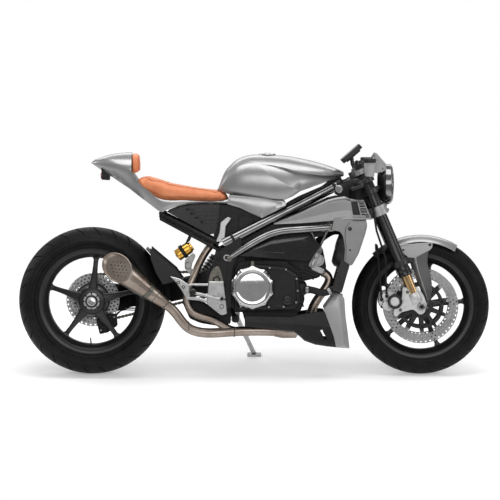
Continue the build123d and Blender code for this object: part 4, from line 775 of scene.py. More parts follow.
def bump_form():
    """The pad on the hump's face: rounded outline in Y and Z, crowned forward."""
    wide, high = 41, 25
    u = np.linspace(-1, 1, wide)[:, None]
    v = np.linspace(-1, 1, high)[None, :]
    y = u * 86 * (1 - 0.10 * v ** 2) + 0 * v
    z = 921 + v * 43 * (1 - 0.12 * np.abs(u) ** 3) - 6 * u ** 2
    rim = (1 - np.abs(u) ** 6) * (1 - np.abs(v) ** 5)
    front = np.stack([178 + 27 * rim ** 0.35 + 0 * y, y, z], -1)
    back = np.stack([177.5 + 0 * y, y, z], -1)
    points = np.concatenate([front.reshape(-1, 3), back.reshape(-1, 3)])
    faces = grid_faces(wide, high).tolist()
    count = wide * high
    rear = [[k + count for k in reversed(f)] for f in faces]
    edge = ([(i, 0) for i in range(wide)] + [(wide - 1, j) for j in range(1, high)]
        + [(i, high - 1) for i in range(wide - 2, -1, -1)] + [(0, j) for j in range(high - 2, 0, -1)])
    ids = [i * high + j for i, j in edge]
    wall = [[a, b, b + count, a + count] for a, b in zip(ids, ids[1:] + ids[:1])]
    return points, faces + rear + wall


bump = stuffed("bump_cushion", bump_form(), "root", LEATHER, voxel=0.004, reach=0.004)
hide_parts("tail_pad")


# Wheels

REAR = dict(x=0.0, z=321.6, radius=320.0, half=97.0, crown=104.0, rim=76.0)
FRONT = dict(x=1430.0, z=300.0, radius=299.0, half=60.0, crown=66.0, rim=45.0)
GROOVES = 26                            # tread blocks round a tyre


def by_axle(wheel, radius, y, angle):
    """Points at a radius and an angle about a wheel's axle, and at Y."""
    x, z = wheel["x"] + radius * np.cos(angle), wheel["z"] + radius * np.sin(angle)
    return np.stack(np.broadcast_arrays(x, y, z), -1)


def axle_of(wheel, y=0):
    """The point of a wheel's axle at Y."""
    return wheel["x"], y, wheel["z"]


def tread_section(wheel):
    """Tyre section from bead to bead as (Y, radius): side wall, shoulder, crown arc, and back."""
    r, half, crown, rim = wheel["radius"], wheel["half"], wheel["crown"], wheel["rim"]
    a = np.radians(np.linspace(56, 0, 34))
    arc = np.stack([crown * np.sin(a), r - crown * (1 - np.cos(a))], -1)
    shoulder = arc[0]
    side = smooth_curve([(rim + 5.6, 232), (rim + 8, 238), (half - 4, (238 + shoulder[1]) / 2 - 6),
        (half - 0.4, shoulder[1] - 16), (shoulder[0] + 1.2, shoulder[1] - 2)], 16)
    right = np.concatenate([side, arc])
    return np.concatenate([right, right[-2::-1] * (-1, 1)])


def tyre_skin(wheel):
    """The section turned about the axle. Grooves sweep back from the crown: the turn angle is a + 0.16 s^1.4
    for a point s of the way from crown to shoulder, and a groove runs where a is near a whole pitch."""
    section = tread_section(wheel)
    y, r = section[:, 0], section[:, 1]
    s = np.clip(np.abs(y) / (wheel["crown"] * sin(radians(56))), 0, 1.25)
    pitch = 2 * pi / GROOVES
    w = 3.0 / wheel["radius"]
    near = np.array([-1.7, -1.15, -0.95, 0.95, 1.15, 1.7]) * w
    one = np.sort(np.concatenate([near, near + pitch / 2, np.linspace(near[-1], pitch / 2 + near[0], 6)[1:-1],
        np.linspace(pitch / 2 + near[-1], pitch + near[0], 6)[1:-1]]))
    base = (one[None, :] + pitch * np.arange(GROOVES)[:, None]).ravel()
    offset = np.where(y[None, :] >= 0, 0.0, pitch / 2)
    away = np.abs((base[:, None] - offset + pitch / 2) % pitch - pitch / 2) / w
    cut = np.clip((1.2 - away) / 0.22, 0, 1)
    along = np.clip((s - 0.14) / 0.05, 0, 1) * np.clip((0.90 - s) / 0.08, 0, 1)
    radius = r[None, :] - 4.5 * cut * along[None, :]
    angle = base[:, None] - 0.16 * np.minimum(s, 1)[None, :] ** 1.4
    outside = sheet(by_axle(wheel, radius, y, angle), loop_rows=True)
    seat = wheel["rim"] - 0.5
    inner = lathe([(y[0], r[0]), (seat, 231), (seat, 218), (seat - 8, 218), (seat - 8, 236),
        (wheel["half"] - 12, 262), (0, wheel["radius"] - 12), (12 - wheel["half"], 262), (8 - seat, 236),
        (8 - seat, 218), (-seat, 218), (-seat, 231), (y[-1], r[-1])], axle_of(wheel), steps=120, loop=False)
    foot, tip = wheel["half"] - 6, wheel["half"] - 4
    ribs = [lathe([(side * foot, 245.4), (side * tip, 247), (side * foot, 248.6)], axle_of(wheel), steps=160)
        for side in (-1, 1)]
    return [outside, inner, *ribs]


piece("rear_tyre_tread", tyre_skin(REAR), TYRE_RUBBER, "rear_wheel", ("rear_tyre",), sharp=28)
piece("front_tyre_tread", tyre_skin(FRONT), TYRE_RUBBER, "front_wheel", ("front_tyre",), sharp=28)


def rim_ring(wheel):
    """Flanges, bead seats, dropped well and the stepped inside of the barrel."""
    h = wheel["rim"]
    half = [(h + 6, 226), (h + 6, 229.4), (h + 4.6, 231), (h + 1.6, 231), (h, 229), (h, 217), (h * 0.72, 216.5),
        (h * 0.5, 199), (0, 198)]
    under = [(0, 189), (h * 0.42, 189.5), (h * 0.56, 194), (h - 12, 203.5), (h - 8, 205), (h - 4.5, 210.5),
        (h + 2, 212), (h + 4.5, 216)]
    outer = half + [(-a, r) for a, r in reversed(half[:-1])]
    inner = [(-a, r) for a, r in reversed(under)][:-1] + under
    return lathe(outer + inner, axle_of(wheel), steps=180)


def spoke_arm(wheel, stations, angle):
    """A spoke as rounded sections on a radius: width and the two faces in Y are splines of the radius."""
    st = np.asarray(stations, float)
    r = np.linspace(st[0, 0], st[-1, 0], 40)
    width, low, high = spline(st[:, 0], st[:, 1:], r).T
    a = np.linspace(0, 2 * pi, 28, endpoint=False)[None, :]
    power = 0.42
    u = np.sign(np.cos(a)) * np.abs(np.cos(a)) ** power * width[:, None] / 2
    v = np.sign(np.sin(a)) * np.abs(np.sin(a)) ** power * (high - low)[:, None] / 2 + ((high + low) / 2)[:, None]
    c, s = cos(radians(angle)), sin(radians(angle))
    x = wheel["x"] + r[:, None] * c - u * s
    z = wheel["z"] + r[:, None] * s + u * c
    return capped(np.stack([x, v, z], -1))


REAR_SPOKES = ((50, 46, -64, -20), (72, 37, -58, -18), (100, 29, -50, -14), (140, 22, -38, -8), (172, 21, -30, -3),
    (184, 27, -28, 0), (192, 44, -30, 4))
FRONT_SPOKES = ((26, 34, -24, 24), (60, 26, -19, 19), (110, 21, -15, 15), (165, 20, -13, 13), (184, 24, -14, 14),
    (193, 40, -17, 17))
rear_arms = [spoke_arm(REAR, REAR_SPOKES, a) for a in (12.6, 84.6, 162.0, 232.0, 304.6)]
front_arms = [spoke_arm(FRONT, FRONT_SPOKES, a) for a in (5.4, 77.4, 149.4, 221.4, 293.4)]
rear_core = lathe([(-70, 30.4), (-70, 50), (-66, 56), (-48, 62), (-20, 70), (12, 66), (28, 54), (32, 50), (32, 30.4)],
    axle_of(REAR), steps=120)
rear_valve = bar((-6, -10, REAR["z"] - 190), (-8, -26, REAR["z"] - 162), 3.4, 2.4, 12)
piece("rear_wheel_casting", [rim_ring(REAR), rear_core, rear_valve, *rear_arms], BLACK_PAINT, "rear_wheel",
    ("rear_rim",))
front_core = lathe([(-60, 13), (-60, 24), (-50, 28), (-34, 32), (-24, 40), (0, 37), (24, 40), (34, 32), (50, 28),
    (60, 24), (60, 13)], axle_of(FRONT))


# Brake discs: every drilled hole is a cell of the band, a round hole in a four-sided ring sector

def drilled_band(wheel, y, r_in, r_out, thick, rows, cells, hole):
    """Cells on a polar grid, each row turned half a cell; the border walks round the cell in 16 steps and the
    hole is a circle of 16 points in the same order. Both faces, hole walls, inner and outer rims."""
    border = np.array([(-1, -1), (-.5, -1), (0, -1), (.5, -1), (1, -1), (1, -.5), (1, 0), (1, .5), (1, 1), (.5, 1),
        (0, 1), (-.5, 1), (-1, 1), (-1, .5), (-1, 0), (-1, -.5)])
    step, height = 2 * pi / cells, (r_out - r_in) / rows
    row, cell = np.meshgrid(np.arange(rows), np.arange(cells), indexing="ij")
    middle_a = (cell + 0.5 * (row % 2)) * step
    middle_r = r_in + (row + 0.5) * height
    a = middle_a[..., None] + border[:, 0] * step / 2
    r = middle_r[..., None] + border[:, 1] * height / 2
    edge = np.stack([r * np.cos(a), r * np.sin(a)], -1)
    way = np.arctan2(border[:, 1] * height, border[:, 0] * step * (r_in + r_out) / 2)
    centre = np.stack([middle_r * np.cos(middle_a), middle_r * np.sin(middle_a)], -1)[..., None, :]
    radial = centre / np.linalg.norm(centre, axis=-1, keepdims=True)
    across = np.stack([-radial[..., 1], radial[..., 0]], -1)
    inner = centre + hole * (np.cos(way)[:, None] * across + np.sin(way)[:, None] * radial)
    layers = []
    for flat, level in ((edge, 0.5), (inner, 0.5), (inner, -0.5), (edge, -0.5)):
        xz = flat.reshape(-1, 16, 2)
        layers.append(np.stack([wheel["x"] + xz[..., 0], np.full(xz.shape[:2], y + level * thick),
            wheel["z"] + xz[..., 1]], -1))
    grid = np.stack(layers, 1)
    faces = grid_faces(4, 16, loop_columns=True)
    faces = (faces[None] + 4 * 16 * np.arange(len(grid))[:, None, None]).reshape(-1, 4)
    rims = []
    for radius, turned in ((r_in, 0.0), (r_out, 0.5 * ((rows - 1) % 2))):
        around = (np.arange(4 * cells) / 4 + turned - 0.5) * step
        level = np.array([-0.5, 0.5])[:, None] * thick + y
        rims.append(sheet(by_axle(wheel, radius, level, around), loop_columns=True))
    return [(grid.reshape(-1, 3), faces.tolist()), *rims]


def spider(wheel, y, r_hub, r_ring, r_tip, arms, width, thick, start):
    """Disc carrier: hub ring, outer ring and arms that end at the band."""
    centre, half = axle_of(wheel, y), thick / 2
    x, z = wheel["x"], wheel["z"]
    parts = [lathe([(-half, r_hub - 16), (-half, r_hub), (half, r_hub), (half, r_hub - 16)], centre, steps=96)]
    if r_ring:
        parts.append(lathe([(-half, r_ring - 6), (-half, r_ring + 6), (half, r_ring + 6), (half, r_ring - 6)], centre,
            steps=96))
    edge = [(x + r_hub - 4, 0.75 * width), (x + r_tip - 8, width / 2), (x + r_tip, 0.3 * width)]
    arm = plate([(px, z - h) for px, h in edge] + [(px, z + h) for px, h in edge[::-1]], y - half, y + half)
    return parts + [turn_about(arm, centre, (0, 1, 0), -(start + 2 * pi * k / arms)) for k in range(arms)]


def buttons(wheel, y, radius, count, start, r, length):
    """Short floating-disc bobbins at the arm tips."""
    return [bar(by_axle(wheel, radius, y - length / 2, a), by_axle(wheel, radius, y + length / 2, a), r, sides=14)
        for a in start + 2 * pi * np.arange(count) / count]


front_bands, front_spiders, front_bobbins = [], [], []
for y in (-62.0, 62.0):
    front_bands += drilled_band(FRONT, y, 121.7, 162.0, 5.0, 3, 48, 3.7)
    front_spiders += spider(FRONT, y, 52, 92, 121, 11, 12, 5, 0.20)
    inward = 12 if y < 0 else -12
    front_spiders.append(lathe([(-2.5, 24), (-2.5, 38), (inward, 38), (inward, 24)], axle_of(FRONT, y), steps=72))
    front_bobbins += buttons(FRONT, y, 116.5, 11, 0.20, 6.0, 8.0)
piece("front_disc_bands", front_bands, STEEL, "front_wheel", ("front_discs",), sharp=35)
piece("front_wheel_casting", [rim_ring(FRONT), front_core, *front_arms, *front_spiders], BLACK_PAINT, "front_wheel",
    ("front_rim",))
piece("front_disc_bobbins", front_bobbins, STEEL, "front_wheel", bevel=0.6, sharp=35)
piece("rear_disc_band", drilled_band(REAR, 37.0, 76.0, 116.0, 5.0, 3, 34, 4.2), STEEL, "rear_wheel", ("rear_disc",),
    sharp=35)
piece("rear_disc_carrier", spider(REAR, 37.0, 76.0, 0, 82, 8, 16, 5, 0.2), BLACK_PAINT, "rear_wheel", bevel=0.8,
    sharp=35)


# Fork, brakes and mudguard: all on the steering body

LEG_FOOT = np.array([1420.8, 0.0, 296.1])       # fork leg line at the axle's level, in the middle plane
FORK_UP = np.array([-sin(radians(23)), 0.0, cos(radians(23))])
FORK_AHEAD = np.array([cos(radians(23)), 0.0, sin(radians(23))])
ACROSS = np.array([0.0, 1.0, 0.0])


def on_leg(t, ahead=0.0, out=0.0):
    """A point by the right fork leg: t up it from the axle's level, ahead of its line and outward from it."""
    return LEG_FOOT + FORK_UP * t + FORK_AHEAD * ahead + (0, -105.0 - out, 0)


outer_tube = lathe([(150, 0), (150, 27.5), (152, 29.6), (166, 30.0), (168, 28.8), (172, 28.8), (174, 30.0),
    (182, 29.6), (187, 27.6), (430, 27.2), (674, 27.0), (676.5, 25.0), (676.5, 20), (682, 19.5), (682, 16), (679, 15),
    (679, 0)], on_leg(0), FORK_UP, 56)
adjuster = lathe([(678, 0), (678, 9), (686, 9), (688, 7), (688, 0)], on_leg(0), FORK_UP, 6)
piece("fork_outer_tubes", both(outer_tube, adjuster), GLOSS_BLACK, "steering", ("fork_tubes",))
slider = lathe([(40, 0), (40, 21.5), (151, 21.5), (151, 0)], on_leg(0), FORK_UP, 56)
piece("fork_inner_tubes", both(slider), BRONZE, "steering", ("fork_sliders",), sharp=35)

x, z = FRONT["x"], FRONT["z"]
foot_line = rounded([(x - 84, z + 86), (x - 50, z + 80), (x - 18, z + 88), (x + 8, z + 50), (x + 24, z + 6),
    (x + 12, z - 27), (x - 8, z - 36), (x - 36, z - 10), (x - 92, z - 25), (x - 110, z - 47), (x - 123, z - 32),
    (x - 116, z + 8), (x - 90, z + 22), (x - 84, z + 50)], 12)
foot = plate(foot_line, -118, -83)
rib_line = rounded([(x - 78, z + 78), (x - 52, z + 74), (x - 30, z + 40), (x - 40, z + 10), (x - 96, z - 8),
    (x - 100, z + 2), (x - 80, z + 16), (x - 76, z + 50)], 8)
foot_rib = plate(rib_line, -122, -117)
leg_cup = lathe([(24, 0), (24, 26), (28, 28.5), (66, 28.5), (70, 26.5), (70, 21.6)], on_leg(0), FORK_UP, 48)
axle_ring = lathe([(-131, 8.6), (-131, 13), (-129, 15.5), (-122, 17), (-117, 21), (-100, 21), (-100, 8.6)], (x, 0, z),
    steps=48)
foot_bolts = [bolt((x - 62, -122, z + 64), 7, 6), bolt((x - 92, -118, z - 14), 7, 6),
    bolt((x + 24, -112, z + 14), 5.5, 5, way=(0.9, 0, 0.4)), bolt((x + 24, -112, z - 4), 5.5, 5, way=(1, 0, 0))]
axle_pipe = lathe([(-120, 8.6), (-120, 12.5), (120, 12.5), (120, 8.6)], (x, 0, z), steps=40)
piece("axle_feet", both(foot, foot_rib, leg_cup, axle_ring) + [axle_pipe], BRIGHT_CAST, "steering",
    ("axle_carriers",), sharp=32, bevel=1.6)
piece("axle_foot_bolts", both(*foot_bolts), DARK_STEEL, "steering")
plug = lathe([(-128, 0), (-128, 9), (-131.6, 10), (-131.6, 12), (-130, 13)], (x, 0, z), steps=40)
piece("axle_plugs", both(plug), CAST_BLACK, "steering")

cx, cz = x - 146, z + 24
caliper_line = rounded([(cx - 30, cz + 34), (cx + 14, cz + 46), (cx + 40, cz + 22), (cx + 36, cz - 30),
    (cx + 8, cz - 46), (cx - 30, cz - 34), (cx - 40, cz)], 14)
outer_half = plate(caliper_line, -84, -66)
inner_half = plate(caliper_line, -58, -42)
bridge = plate([(cx - 38, cz - 14), (cx - 28, cz - 18), (cx - 24, cz + 26), (cx - 34, cz + 20)], -66, -58, 5)
bulges = [lathe([(-92, 0), (-92, 15), (-89, 18), (-83, 19), (-83, 0)], (cx + dx, 0, cz + dz), steps=36)
    for dx, dz in ((-14, 16), (-8, -18))]
lug = lathe([(-122, 0), (-122, 19), (-120, 21), (-84, 22), (-84, 0)], (x - 116, 0, z + 23), steps=40)
piece("caliper_bodies", both(outer_half, inner_half, bridge, lug, *bulges), BRIGHT_CAST, "steering",
    ("front_calipers",), sharp=32, bevel=1.5)
seal_ring = lathe([(-124, 22), (-127, 25), (-127, 29), (-124, 32), (-119, 32), (-119, 22)], (x - 116, 0, z + 23),
    steps=48)
pad_pin = bar((cx - 40, -62, cz + 4), (cx + 20, -62, cz + 10), 3.5)
caliper_bolts = [bolt((cx + dx, -84, cz + dz), 6, 5) for dx, dz in ((28, 26), (26, -30), (-26, -26))]
piece("caliper_rings", both(seal_ring, pad_pin, *caliper_bolts), PLASTIC, "steering")


def guard_sheet(a_from, a_to, rise, drop, width, notches=0):
    """A saddle over the front tyre: point = axle + (rise - drop |s|^2.6)(cos a, sin a), Y = width s, s from -1 to 1;
    with notches, the side edges step in and out along a."""
    a = np.radians(np.linspace(a_from, a_to, 90))[:, None]
    s = np.linspace(-1, 1, 41)[None, :]
    fall = drop * np.abs(s) ** 2.6
    if notches:
        wave = (np.arange(90)[:, None] * notches / 90) % 1.0
        fall = fall * (1 - 0.45 * wave * (np.abs(s) > 0.9))
    grids = []
    for r in (rise, rise - 3.0):
        r = r - fall + 0 * a
        grids.append(np.stack([x + r * np.cos(a), np.broadcast_to(width * s, r.shape), z + r * np.sin(a)], -1))
    return shell(*grids)


piece("mudguard_skin", [guard_sheet(58.6, 116, 307.5, 27, 67)], PAINT, "steering", ("front_mudguard",), bevel=0.8)
piece("mudguard_rear", [guard_sheet(115, 133, 308.2, 22, 66, 5)], PLASTIC, "steering", sharp=30)
stay_line = rounded([(1332, 560), (1450, 573), (1467, 581), (1480, 572), (1476, 552), (1450, 530), (1412, 505),
    (1384, 500), (1366, 520), (1348, 530)], 8)
stay_lip = strap([(1330, -75, 562), (1370, -76, 567), (1420, -76, 571), (1452, -76, 573)], oval(5, 5, 12))
blade_left = np.array([(1384, 501), (1393, 470), (1400, 450), (1406, 432), (1417, 405), (1428, 379), (1440, 352),
    (1450, 329), (1456, 320)], float)
blade_right = np.array([(1463, 543), (1458, 506), (1459, 480), (1463, 462), (1471, 430), (1476, 400), (1476, 370),
    (1470, 334), (1464, 321)], float)
stages = np.linspace(0, 1, 34)
left = spline(np.linspace(0, 1, 9), blade_left, stages)
right = spline(np.linspace(0, 1, 9), blade_right, stages)


def across_blade(section):
    """A closed section of (share of the way across, Y) swept down between the blade's two edges."""
    return capped(np.stack([np.insert(left + (right - left) * share, 1, y, axis=1) for share, y in section], 1))


blade = across_blade([(0.0, -73.5), (0.05, -76), (0.24, -84), (0.30, -84.5), (0.97, -77), (1.0, -74), (1.0, -70),
    (0.0, -70)])
clasp = lathe([(196, 28.6), (196, 34), (198, 36), (220, 36), (222, 34), (222, 28.6)], on_leg(0), FORK_UP, 44)
clasp_arm = plate([(1336, 487), (1398, 492), (1400, 512), (1340, 514)], -93, -72, 6)
# The blade's right face takes the silver paint with deeper painted shade; this strip along its left edge, in the
# plain silver paint, stands out of it.
edge = across_blade([(-0.01, -73), (0.045, -77), (0.235, -85.2), (0.29, -85.6), (0.29, -80), (0.0, -71)])
piece("mudguard_blades", both(blade), DEEP_PAINTED_SHADE_SILVER, "steering", sharp=24, bevel=0.8)
piece("mudguard_stays", both(plate(stay_line, -76, -69), stay_lip, edge), PAINT, "steering", sharp=24, bevel=0.8)
piece("mudguard_clasps", both(clasp, clasp_arm, bolt((1467, -76, 567), 6.5, 5), bolt((1352, -78, 545), 4.5, 4)),
    BLACK_PAINT, "steering", bevel=0.8, sharp=35)


# Clamps, bars, levers and display

STEM_BACK = 22.0                # steering stem behind the fork legs


def stem_at(t):
    """A point of the steering stem's line."""
    return LEG_FOOT + FORK_UP * t - FORK_AHEAD * STEM_BACK


def clamp_lobes(t, thick, lobe):
    """One clamp between the legs: a waisted plate with a ring round each tube."""
    line = rounded([(-34, -24), (-34, 24), (0, 58), (-6, 105), (46, 105), (36, 34), (36, -34), (46, -105), (-6, -105),
        (0, -58)], 14)
    half = thick / 2
    body = slab_on(line, stem_at(t), FORK_AHEAD, -ACROSS, -half, half)
    ring = lathe([(t - half, 27.2), (t - half, lobe - 2), (t - half + 2, lobe), (t + half - 2, lobe),
        (t + half, lobe - 2), (t + half, 27.2)], on_leg(0), FORK_UP, 56)
    return [body, *both(ring)]


stem_nut = lathe([(646, 0), (646, 19), (662, 19), (664, 16), (664, 0)], stem_at(0), FORK_UP, 6)
piece("fork_clamps", clamp_lobes(454.95, 42, 39) + clamp_lobes(641.95, 22, 38) + [stem_nut], CAST_GREY, "steering",
    sharp=32, bevel=1.8)
pinches = [bolt(on_leg(t, -38 if t > 500 else 38, -8), 6, 6, way=FORK_AHEAD * (-1 if t > 500 else 1))
    for t in (444, 466, 642)]
piece("clamp_bolts", both(*pinches), DARK_STEEL, "steering")

BAR_ROOT = np.array([1185.6, -105.0, 850.2])
BAR_WAY = np.array([-0.4424, -0.8874, -0.1294])
BAR_AHEAD = np.array([0.895, -0.446, 0.0])
Z_UP = np.array([0.0, 0.0, 1.0])


def on_bar(s, ahead=0.0, up=0.0):
    """A point by the right handlebar: s along it from the fork leg, ahead of it and above it."""
    return BAR_ROOT + BAR_WAY * s + BAR_AHEAD * ahead + Z_UP * up


def turned_bar(rows, sides=40):
    """A profile of (along, radius) turned about the handlebar."""
    return lathe(rows, BAR_ROOT, BAR_WAY, sides)


clip = lathe([(586, 27.3), (586, 35), (588, 37), (616, 37), (618, 35), (618, 27.3)], on_leg(0), FORK_UP, 48)
clip_bolts = [bolt(on_leg(t, 30, -22), 5, 5, way=FORK_AHEAD) for t in (594, 610)]
piece("clip_on_bars", both(clip, turned_bar([(24, 0), (24, 15), (40, 12), (46, 11), (264, 11), (264, 0)]),
    *clip_bolts), BLACK_PAINT, "steering", ("clip_ons",), sharp=36, bevel=0.6)
rings = [row for k in range(28) for row in ((139 + 4.3 * k, 16.2), (141.6 + 4.3 * k, 16.2), (142.2 + 4.3 * k, 17.1),
    (138.6 + 4.3 * (k + 1), 17.1))]
grip_rows = [(128, 0), (128, 20), (130, 22), (133, 22), (136, 18)] + rings + [(261, 17.5), (264, 17.5), (264, 0)]
bar_end = [(264, 0), (264, 15.5), (268, 16), (277, 16), (279, 14), (279, 8), (276, 7), (276, 0)]
piece("grip_rubbers", both(turned_bar(grip_rows)), RUBBER, "steering", ("grips",), sharp=30)
piece("bar_ends", both(turned_bar(bar_end)), SATIN, "steering", sharp=30)

lever_path = smooth_curve([on_bar(140, 40), on_bar(160, 58), on_bar(182, 65), on_bar(215, 63), on_bar(256, 58)], 40)
lever_size = np.interp(np.linspace(0, 1, 40), [0, 0.15, 0.4, 0.9, 1], [7, 6.5, 5, 4.6, 5])
blade_section = np.stack([oval(2.6 * s, 1.7 * s, 16, 0.8) for s in lever_size])
lever = strap(lever_path, blade_section, Z_UP)
ball = lathe([(-9, 0), (-8, 4), (-5, 7.5), (0, 9), (5, 7.5), (8, 4), (9, 0)], on_bar(258, 58), (0, 0, 1), 24)
master = tube([on_bar(84, 26), on_bar(88, 26.9), on_bar(146, 39), on_bar(150, 40)], [9, 11, 11, 8], 30)
saddle = lathe([(92, 11.2), (92, 20), (94, 21.5), (120, 21.5), (122, 20), (122, 11.2)], BAR_ROOT, BAR_WAY, 36)
perch = tube([on_bar(100, 12), on_bar(100, 32)], [11, 10], 24)
pivot = lathe([(-11, 0), (-11, 8), (11, 8), (11, 0)], on_bar(140, 40), (0, 0, 1), 24)
cup_foot = on_bar(62, 48, 22)
stalk = tube(smooth_curve([on_bar(106, 28), on_bar(84, 34, 12), cup_foot + (0, 0, 2)], 16), 5.5, 16)
piece("brake_and_clutch_levers", both(lever, ball, pivot), PLASTIC, "steering", ("brake_levers",), sharp=36)
piece("master_cylinders", both(master, saddle, perch, stalk), PLASTIC, "steering", sharp=36, bevel=0.5)
cup = lathe([(0, 0), (0, 17), (3, 20), (60, 25.2), (60, 0)], cup_foot, Z_UP, 44)
lid = lathe([(60, 0), (60, 27), (63, 27.5), (76, 27.5), (78.5, 26), (79, 22), (79, 0)], cup_foot, Z_UP, 44)
FLUID_CUP = finish("smoky_reservoir", 0.30, 0.42, 0.0, (0.25, 0.35), 12, 900, 0.00002, 0.3)
piece("reservoir_cups", both(cup), FLUID_CUP, "steering", sharp=30)
piece("reservoir_lids", both(lid), PLASTIC, "steering", sharp=30)

display_along = np.array([0.751, 0.0, 0.661])
display_line = rounded([(-88, -53), (88, -53), (88, 53), (-88, 53)], 14, 7)
display_mid = np.array([1127.0, 0.0, 962.0])
piece("display_case", [slab_on(display_line, display_mid, ACROSS, display_along, -9, 11),
    slab_on(display_line * (0.8, 0.72), display_mid, ACROSS, display_along, 9, 17)], PLASTIC, "steering",
    ("instrument",), sharp=30, bevel=2.2)
piece("display_screen", [slab_on(display_line * (0.9, 0.84), display_mid, ACROSS, display_along, -10, -8.8)],
    GLASS_GREY, "steering", bevel=0.4, sharp=35)

knee = lathe([(-9, 0), (-7, 6), (-4, 8.2), (0, 9), (4, 8.2), (7, 6), (9, 0)], stem_at(683), steps=24)
lock = lathe([(0, 0), (0, 14), (20, 14), (23, 11), (23, 0)], stem_at(655) + FORK_AHEAD * 34, FORK_UP, 32)
piece("display_stalk", [bar(stem_at(660), stem_at(683), 8.6), bar(stem_at(683), (1128, 0, 952), 8.6), knee, lock],
    BLACK_PAINT, "steering")


# Headlamp: bowl, bright rim, reflector, lens and brackets

def clear_glass(name, tint):
    """Clear glass with a faint unevenness."""
    material, tree, shader, place = nodes_of(name)
    shader.inputs["Base Color"].default_value = (*colour(tint), 1)
    shader.inputs["Transmission Weight"].default_value = 1.0
    shader.inputs["IOR"].default_value = 1.45
    tree.links.new(spread(tree, noise(tree, place, 60), 0.0, 0.04), shader.inputs["Roughness"])
    raise_by(tree, shader, noise(tree, place, 25, 1.0), 0.00003)
    return material


LENS = clear_glass("lamp_lens", 0.93)
lamp = np.array([1242.0, 0.0, 830.0])
FRONTWARD = (1.0, 0.0, 0.0)
bowl = lathe([(0, 0), (0, 40), (3, 56), (9, 67), (18, 76), (26, 81), (31, 82.5), (36, 82.5), (36, 0)], lamp,
    FRONTWARD, 80)
rim_ring_lamp = lathe([(32, 78), (32, 84), (34, 86), (55, 86), (58, 85), (60, 83), (61, 80), (59, 78)], lamp,
    FRONTWARD, 96)
seam_ring = lathe([(29, 80), (29, 84.6), (32, 84.6), (32, 80)], lamp, FRONTWARD, 96)
mirror_bowl = lathe([(58, 78.6), (50, 74), (43, 64), (38.5, 50), (37.2, 30), (37, 12), (37, 0), (36.2, 0),
    (36.2, 79.5), (58, 79.5)], lamp, FRONTWARD, 80, loop=False)
glass = lathe([(57, 78.8), (61.5, 78.8), (65, 74), (68, 60), (70.3, 40), (71.6, 20), (72, 0), (69, 0), (68.6, 20),
    (67.3, 40), (65, 59), (62, 72), (57, 75)], lamp, FRONTWARD, 96, loop=False)
unit = lathe([(37, 0), (37, 24), (50, 27), (52, 25), (52, 20), (49, 17), (48, 0)], lamp, FRONTWARD, 60)
side_units = [lathe([(37, 0), (37, 12), (46, 13), (47, 11), (45, 9), (44, 0)], lamp + (0, 48 * cos(a), 48 * sin(a)),
    FRONTWARD, 32) for a in np.radians([0, 60, 120, 180, 240, 300])]
bracket_line = rounded([(1180, 922), (1234, 938), (1280, 905), (1276, 890), (1234, 876), (1192, 900)], 9)
brace_line = rounded([(1216, 946), (1229, 966), (1236, 964), (1279, 914), (1270, 908), (1240, 934)], 4)
bracket = plate(bracket_line, -71, -66)
brace = plate(brace_line, -70, -67)
boss = lathe([(-71, 0), (-71, 13), (-75, 12), (-75, 0)], (1218, 0, 905), steps=32)
spacer = bar((1258, -70, 886), (1258, 0, 886), 6)
band = lathe([(534, 27.4), (534, 32), (536, 34), (554, 34), (556, 32), (556, 27.4)], on_leg(0), FORK_UP, 48)
arm = strap([on_leg(545, 28, -14), on_leg(545, 42, -30), (1252, -56, 808), (1258, -50, 806)], oval(16, 12, 20, 0.6))
under = plate([(1238, 752), (1248, 738), (1290, 741), (1300, 747), (1290, 752), (1262, 752)], -15, 15, 4)
under_post = bar((1252, 0, 746), (1250, 0, 728), 8)
piece("lamp_bowl", [bowl, seam_ring, *both(band, arm), under, under_post], BLACK_PAINT, "steering",
    ("headlamp_shell",), sharp=36, bevel=0.8)
piece("lamp_rim", [rim_ring_lamp], POLISHED, "steering", sharp=30)
# The lamp brackets take the silver paint with painted shade.
piece("lamp_brackets", both(bracket, brace, boss, spacer), PAINTED_SHADE_SILVER, "steering", sharp=30, bevel=0.9)
piece("lamp_bracket_bolts", both(bolt((1218, -75, 905), 9, 5), bolt((1262, -71, 897), 4, 3),
    bolt((1226, -70, 952), 4, 3)), DARK_STEEL, "steering")
piece("lamp_reflector", [mirror_bowl, unit, *side_units], CHROME, "steering", sharp=30)
piece("lamp_glass", [glass], LENS, "steering", ("headlamp_lens",), sharp=30)


# Frame tubes, pivot plates and subframe

def rail_at(x):
    """Centre of the right upper frame rail at this X."""
    share = (x - 565) / 492
    return np.array([x, -(134 - 66 * share), 571 + 249 * share])


LOWER_RUN = smooth_curve([(598, -133, 513), (640, -135, 540), (700, -137, 577), (748, -138, 603), (790, -139, 620),
    (830, -139, 629), (880, -139, 633.5), (960, -139, 640), (1036, -139, 646)], 60)
upper_tube = tube([rail_at(572), rail_at(1066)], 21.8, 48)
upper_ends = [lathe([(-6, 21), (-6, 26), (-3, 27), (3, 27), (6, 26), (6, 21)], rail_at(1052),
    rail_at(1060) - rail_at(1000), 40), lathe([(-6, 21), (-6, 24), (6, 24), (6, 21)], rail_at(612),
    rail_at(1060) - rail_at(1000), 40)]
piece("upper_frame_tubes", both(upper_tube), POLISHED, replaces=("upper_rails",))
piece("frame_tube_collars", both(*upper_ends), CAST_BLACK)
lower_tube = tube(LOWER_RUN, 17, 40)
lower_eye = lathe([(-13, 0), (-13, 14), (-10, 19), (10, 19), (13, 14), (13, 0)], (1036, -139, 646), (0, 1, 0), 36)
v_legs = [bar(p, q, 6.5, 5.5, 20) for p, q in (((946, -128, 636), (984, -124, 552)),
    ((1026, -128, 640), (984, -124, 552)))]
v_foot = lathe([(-9, 0), (-9, 15), (9, 15), (9, 0)], (984, -124, 546), (0, 1, 0), 32)
piece("lower_frame_tubes", both(lower_tube, lower_eye, *v_legs, v_foot), POLISHED, replaces=("lower_rails",))
